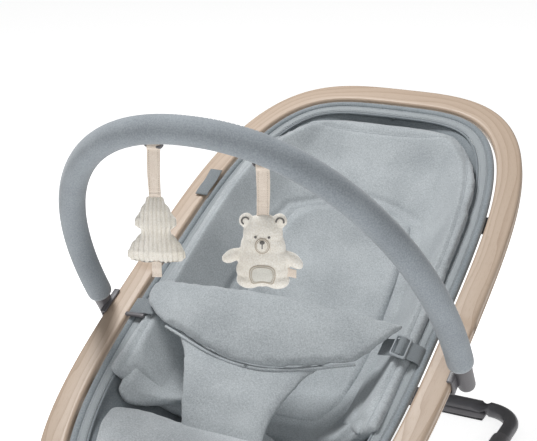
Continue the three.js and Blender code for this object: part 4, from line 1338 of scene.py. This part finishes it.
def wire_hook(name, hook, node, rise_left, rise_right):
    """A loop of wire: two legs that go up into the sleeve, and a bar across between them."""
    corners = [(-HOOK_HALF, rise_left), (-HOOK_HALF, 2), (-HOOK_HALF + 2, 0), (HOOK_HALF - 2, 0),
               (HOOK_HALF, 2), (HOOK_HALF, rise_right)]
    path = []
    for (x0, z0), (x1, z1) in zip(corners, corners[1:]):
        path += [hook(mix(x0, x1, k / 5), 0, mix(z0, z1, k / 5)) for k in range(5)]
    path.append(hook(corners[-1][0], 0, corners[-1][1]))
    wire = sweep(name, path, circle(WIRE_RADIUS, 12), DARK_PLASTIC, up=Vector((0, 1, 0)))
    settle(wire, "toy_bar", "dark_plastic", node)


def ribbon_strip(name, at, length, body, node, gathered, seed):
    """A folded ribbon that loops over the wire, a little gathered in its lower part."""
    rings = []
    steps = 90
    for k in range(steps + 1):
        share = k / steps
        z = mix(RIBBON_RISE, -length, share)
        pull = gathered * max(0.0, share - 0.35)
        wave = pull * 1.5 * noise.noise(Vector((share * 26, 0, seed)))
        lean = 1.2 * math.sin(share * 5 + seed)
        width = TOY_RIBBON - 1.4 * pull
        deep = 1.3 + 2.0 * math.exp(-((z / 3.2) ** 2))
        ring = []
        for x, y in rounded_box(width, 2 * deep, 0.7, 3):
            ripple = wave * math.cos(x * 0.55 + share * 30)
            ring.append(at(x + 0.3 * lean, y + ripple + 0.4 * lean, z))
        rings.append(ring)
    strip = loft(name, rings, RIBBON)
    settle(strip, body, "cream_ribbon", node)
    for edge, word in ((-1, "right"), (1, "left")):
        x = edge * (TOY_RIBBON / 2 - 2.2)
        line = [at(x, -1.75, mix(-4, -length * 0.95, k / 40)) for k in range(41)]
        stitch_row(f"{name}_{word}_edge", line, body, "cream_ribbon",
                   material=TAN_THREAD, pitch=0.0022, length=0.0013, radius=0.00022)


TOY_RIBBON = 14.0
TREE_RIBBON_LENGTH = 55.0
BEAR_RIBBON_LENGTH = 51.0
RIBBON_RISE = 5.5  # of the ribbons above the wire, up to the sleeve
wire_hook("tree_wire", TREE_HOOK, "tree_hanger", 8, 11)
wire_hook("bear_wire", BEAR_HOOK, "bear_hanger", 15, 8)
ribbon_strip("tree_tape", tree_at, TREE_RIBBON_LENGTH, "tree", "tree_ribbon", 1.6, 2.0)
ribbon_strip("bear_tape", bear_ribbon_at, BEAR_RIBBON_LENGTH, "bear", "bear_ribbon", 1.3, 5.0)

# %% [markdown]
# ### The tree
# Two corduroy tiers with rounded points, lightly stuffed. Corduroy is deep ribs with narrow
# valleys between them, so the ribs are real relief: each is a rounded ridge up and down the toy.

# %% Tree
TREE_TOP = -54.5
TREE_WIDTH = [(0, 8), (2, 9.5), (20, 18.5), (26, 23.0), (31, 23.5), (34.5, 19), (37, 16.5),
              (40, 16.8), (54, 27), (61, 31.5), (67, 31.8), (71, 28), (73, 24)]
TREE_TALL = 73.0
RIB_PITCH = 5.6
RIB_DEPTH = 3.3


def tree_ring(z):
    """One level of the stuffed tree, ribbed."""
    half = station_value(TREE_WIDTH, z)
    nearest = min(z, TREE_TALL - z)
    deep = 10.5 * min(1.0, math.sqrt(max(nearest, 0.3) / 14)) * (0.6 + 0.4 * half / 32)
    ring = []
    sides = 150
    for k in range(sides):
        turn = 2 * math.pi * k / sides
        x = half * math.cos(turn)
        y = deep * math.copysign(abs(math.sin(turn)) ** 0.85, math.sin(turn))
        bend = x / (0.72 + 0.28 * half / 32)
        ridge = abs(math.cos(math.pi * bend / RIB_PITCH)) ** 0.75
        relief = RIB_DEPTH * (1 - ridge)
        inward = math.hypot(x, y) or 1.0
        droop = 1.0 * math.cos(2 * math.pi * x / 21) * (z / TREE_TALL) ** 6
        sunk = relief * math.copysign(1, y) * abs(math.sin(turn)) ** 0.5
        ring.append(tree_at(x - relief * x / inward * 0.4, y - sunk, TREE_TOP - z + droop))
    return ring


tree_levels = [0.0, 0.4, 1.0] + [TREE_TALL * k / 84 for k in range(2, 83)]
tree_levels += [TREE_TALL - 0.8, TREE_TALL - 0.3, TREE_TALL]
tree_toy = loft("corduroy_tree", [tree_ring(z) for z in tree_levels], CORDUROY)
settle(tree_toy, "tree", "cream_plush", "tree_body")
trunk_section = rounded_box(10.5, 3.0, 1.0, 3)
trunk_rings = []
for k in range(13):
    z, ripple = mix(TREE_TALL - 4, TREE_TALL + 17, k / 12), 0.6 * math.sin(k * 0.8)
    trunk_rings.append([tree_at(x, y + ripple, TREE_TOP - z) for x, y in trunk_section])
trunk = loft("tree_stem", trunk_rings, RIBBON)
settle(trunk, "tree", "cream_ribbon", "tree_trunk")

# %% [markdown]
# ### The bear
# A flat plush bear: head, tummy, ears, arms and feet run into each other, so they are built as
# rounded lumps that are melted into one skin. The face and the tummy patch are sewn on top.


# %% Bear body
def lump(work, x, z, rx, ry, rz, tilt=0.0):
    """Adds one ellipsoid of the bear's body, in its own millimetres."""
    turned = Matrix.Rotation(math.radians(tilt), 4, "Y") @ Matrix.Diagonal((rx, ry, rz, 1))
    place = Matrix.Translation((x, 0, z)) @ turned
    bmesh.ops.create_uvsphere(work, u_segments=32, v_segments=20, radius=1, matrix=place)


bear_work = bmesh.new()
for lump_size in (
    (0, -84, 24.5, 12.5, 25), (0, -100, 28, 13.5, 24), (0, -118, 31, 15, 30), (0, -130, 33, 14, 22),
    (-20.5, -67, 9.3, 5.5, 9.3), (20.5, -67, 9.3, 5.5, 9.3),
    (-16.5, -143.5, 16, 12.5, 11), (16.5, -143.5, 16, 12.5, 11),
):
    lump(bear_work, *lump_size)
lump(bear_work, -37.5, -113, 14.5, 7, 8, -28)
lump(bear_work, 37, -117, 15, 7, 8, 42)
bear_mesh = bpy.data.meshes.new("plush_bear")
for vertex in bear_work.verts:
    vertex.co = bear_at(*vertex.co)
bear_work.to_mesh(bear_mesh)
bear_work.free()
bear_mesh.materials.append(PLUSH)
bear_toy = bpy.data.objects.new("plush_bear", bear_mesh)
bpy.context.scene.collection.objects.link(bear_toy)
remesh(bear_toy, 1.25, 5)
bear_toy.data.materials.clear()
bear_toy.data.materials.append(PLUSH)
for vertex in bear_toy.data.vertices:
    soft = noise.noise(vertex.co * 90)
    nap = noise.noise(vertex.co * 900)
    vertex.co += vertex.normal * ((0.7 * soft + 0.22 * nap) * MM)
settle(bear_toy, "bear", "cream_plush", "bear_body")
print("bear", len(bear_toy.data.vertices))

# %% [markdown]
# ### The bear's face
# Flat shapes and threads are drawn in the bear's own plane and dropped onto its front.

# %% Patches and embroidery
BEAR_FRONT = bear_at(0, 1, 0) - bear_at(0, 0, 0)
BEAR_FRONT.normalize()


def on_bear(points, lift):
    """Drops (x, z) places onto the bear's front."""
    tree = BVHTree.FromObject(bear_toy, bpy.context.evaluated_depsgraph_get())
    landed = []
    for x, z in points:
        hit, normal, _, _ = tree.ray_cast(bear_at(x, -60, z), BEAR_FRONT)
        landed.append(hit - BEAR_FRONT * (lift * MM))
    return landed


def sewn_patch(name, outline, material, thickness):
    """A flat piece of cloth on the bear, a little domed, with its edge turned under."""
    centre = (sum(x for x, _ in outline) / len(outline), sum(z for _, z in outline) / len(outline))
    rings = []
    steps = ((1.0, -0.6), (1.0, 0.25), (0.96, 0.55), (0.8, thickness), (0.5, thickness * 1.1),
             (0.2, thickness * 1.15))
    for share, lift in steps:
        scaled = [(mix(centre[0], x, share), mix(centre[1], z, share)) for x, z in outline]
        rings.append(on_bear(scaled, lift))
    patch = loft(name, rings, material)
    return settle(patch, "bear", "cream_plush")


def egg(cx, cz, rx, rz, count=40, power=2.0, start=0.0, sweep_share=1.0):
    """Points on a rounded outline."""
    points = []
    spans = count if sweep_share == 1.0 else count - 1
    for k in range(count):
        turn = math.radians(start) + 2 * math.pi * sweep_share * k / spans
        c, s = math.cos(turn), math.sin(turn)
        x = cx + rx * math.copysign(abs(c) ** (2 / power), c)
        points.append((x, cz + rz * math.copysign(abs(s) ** (2 / power), s)))
    return points


def thread_line(name, places, radius, material, lift=0.3):
    """A continuous embroidered line on the bear."""
    path, scales = domed(on_bear(places, lift), radius * 0.8, 3)
    line = sweep(name, path, circle(radius, 8), material, scales, up=BEAR_FRONT)
    return settle(line, "bear", "cream_plush")


def outline_thread(name, outline, radius, lift):
    """A tan thread all round an outline, whose ends overlap."""
    thread_line(name, outline + outline[:2], radius, TAN_THREAD, lift)


MUZZLE_Z = -95.0
sewn_patch("bear_muzzle", egg(0, MUZZLE_Z, 8.8, 9.4), PLUSH, 1.5)
outline_thread("muzzle_outline", egg(0, MUZZLE_Z, 8.6, 9.2, 60), 0.45, 0.7)
outline_thread("muzzle_outline_inner", egg(0, MUZZLE_Z, 6.9, 7.5, 50), 0.35, 1.3)
sewn_patch("bear_nose", egg(0, -90.5, 3.6, 2.5, 24, 2.3), DARK_THREAD, 2.6)
thread_line("bear_mouth", [(0, mix(-92, -98, k / 6)) for k in range(7)], 0.5, DARK_THREAD, 1.9)
for side, word in ((-1, "right"), (1, "left")):
    sewn_patch(f"bear_{word}_eye", egg(side * 8.2, -84.5, 1.6, 1.6, 20), DARK_THREAD, 1.2)
    ear_line = egg(side * 20.8, -66.5, 4.6, 4.6, 26, start=35 if side < 0 else -15, sweep_share=0.55)
    thread_line(f"bear_{word}_ear", ear_line, 0.9, DARK_THREAD, 0.4)

BELLY_Z = -132.5
belly = [(x, z + (2.2 * math.cos(x * 0.2) if z < -140 else 0))
         for x, z in egg(0, BELLY_Z, 15.5, 12.5, 60, 2.7)]
sewn_patch("bear_belly", belly, PATCH, 0.9)
outline_thread("belly_outline", belly, 0.5, 0.5)
inner_belly = [(x * 0.86, BELLY_Z + (z - BELLY_Z) * 0.84) for x, z in belly]
outline_thread("belly_outline_inner", inner_belly, 0.32, 1.0)

# %% Side tag
tag_section = rounded_box(11, 1.2, 0.5, 2)
tag_rings = []
for k in range(9):
    x, deep, high = mix(27, 41, k / 8), -4 + 0.5 * math.sin(k * 0.7), -131 - 0.3 * k
    tag_rings.append([bear_at(x, deep + y, high + z) for z, y in tag_section])
tag = loft("bear_tag", tag_rings, RIBBON)
settle(tag, "bear", "cream_ribbon", "bear_label")
print("toys done")

# %% [markdown]
# ## The base
# Bent steel tube with a matt dark coat. Each runner leaves its hub, bends round a nose at the foot
# end and lies along the floor. A U-shaped bar closes the frame behind, and plastic strips under the
# two cross tubes keep it off the floor. All of it is swept again here, finer than the mechanical
# model, round the same lines.

# %% Tubes
TUBE_RADIUS = 11.0
TUBE_HEIGHT = 16.0
RUNNER_X = 200.0
HUB = Vector(joints["recline"]["pos_m"]) / MM
FRONT_Y = -291.2
REAR_Y = 345.8
COUPLER_Y = 233.8
CORNER = 42.0
SOCKET_WAY = (-0.82, -0.57)  # the direction, in y and z, in which a runner leaves its hub
SOCKET_REACH = 28.0  # of the tube's start from the hub's axis
HANDLE_REACH = 105.3  # of the curve's first handle
NOSE_REACH = 70.0  # how strongly the nose bulges forwards


def bezier(points, share):
    """A place on a cubic curve."""
    a, b, c, d = points
    rest = 1 - share
    return a * rest ** 3 + b * (3 * rest * rest * share) + c * (3 * rest * share * share) + d * share ** 3


def tube_piece(name, path, node, up=Vector((1, 0, 0))):
    """A coated tube along a path in scene millimetres."""
    piece = sweep(name, [p * MM for p in path], circle(TUBE_RADIUS, 28), DARK_STEEL, up=up)
    settle(piece, "base", "dark_steel", node)


for side, word in ((-1, "right"), (1, "left")):
    x = side * RUNNER_X
    handles = [Vector((x, HUB.y + SOCKET_WAY[0] * reach, HUB.z + SOCKET_WAY[1] * reach))
               for reach in (SOCKET_REACH, HANDLE_REACH)]
    handles += [Vector((x, FRONT_Y - NOSE_REACH, TUBE_HEIGHT)), Vector((x, FRONT_Y, TUBE_HEIGHT))]
    path = [bezier(handles, k / 48) for k in range(48)]
    path += [Vector((x, mix(FRONT_Y, COUPLER_Y, k / 30), TUBE_HEIGHT)) for k in range(31)]
    tube_piece(f"{word}_runner_tube", path, f"{word}_runner")

half_bar = []
for k in range(9):
    half_bar.append(Vector((RUNNER_X, mix(COUPLER_Y + 0.4, REAR_Y - CORNER, k / 8), TUBE_HEIGHT)))
bend_x, bend_y = RUNNER_X - CORNER, REAR_Y - CORNER
for k in range(1, 17):
    turn = math.pi / 2 * k / 16
    x, y = bend_x + CORNER * math.cos(turn), bend_y + CORNER * math.sin(turn)
    half_bar.append(Vector((x, y, TUBE_HEIGHT)))
middle_bar = [Vector((mix(bend_x, -bend_x, k / 24), REAR_Y, TUBE_HEIGHT)) for k in range(1, 24)]
mirrored_bar = [Vector((-p.x, p.y, p.z)) for p in reversed(half_bar)]
tube_piece("rear_bar_tube", half_bar + middle_bar + mirrored_bar, "rear_bar")
CROSS_HALF = 189.0
cross_path = [Vector((mix(-CROSS_HALF, CROSS_HALF, k / 24), FRONT_Y, TUBE_HEIGHT)) for k in range(25)]
tube_piece("front_cross", cross_path, "front_cross_tube", up=Vector((0, 1, 0)))

# %% Foot strips and other hard pieces
STRIP_HALF = 152.0
for end, y in (("rear", REAR_Y), ("front", FRONT_Y)):
    strip_rings = []
    for k in range(-12, 13):
        reach = k / 12
        narrow = 1.0 if abs(k) < 12 else 0.92
        section = [(a * narrow, b * narrow) for a, b in rounded_box(25, 9.5, 2.2, 4)]
        strip_rings.append([Vector((reach * STRIP_HALF, y + a, 8.2 + b)) * MM for a, b in section])
    strip = loft(f"{end}_strip", strip_rings, DARK_PLASTIC)
    settle(strip, "base", "dark_plastic", f"{end}_foot_strip")
    soften(f"{end}_foot_grip", RUBBER, "base", "rubber", 0.8)
for word in ("right", "left"):
    for part, material, body, slot, width in (
        ("coupler", DARK_PLASTIC, "base", "dark_plastic", 0.8),
        ("base_hub", DARK_PLASTIC, "base", "dark_plastic", 1.4),
        ("seat_hub", DARK_PLASTIC, "seat", "dark_plastic", 1.4),
        ("release_button", GREY_PLASTIC, f"{word}_button", "grey_plastic", 1.2),
        ("foot_bracket", DARK_STEEL, "seat", "dark_steel", 0.5),
        ("head_bracket", DARK_STEEL, "seat", "dark_steel", 0.5),
        ("hub_pin", BRIGHT_STEEL, "base", "bright_steel", 0.4),
        ("return_washer", BRIGHT_STEEL, "base", "bright_steel", 0.3),
        ("hub_screw_1", BRIGHT_STEEL, "seat", "bright_steel", 0.3),
        ("hub_screw_2", BRIGHT_STEEL, "seat", "bright_steel", 0.3),
    ):
        soften(f"{word}_{part}", material, body, slot, width)
print("base done")
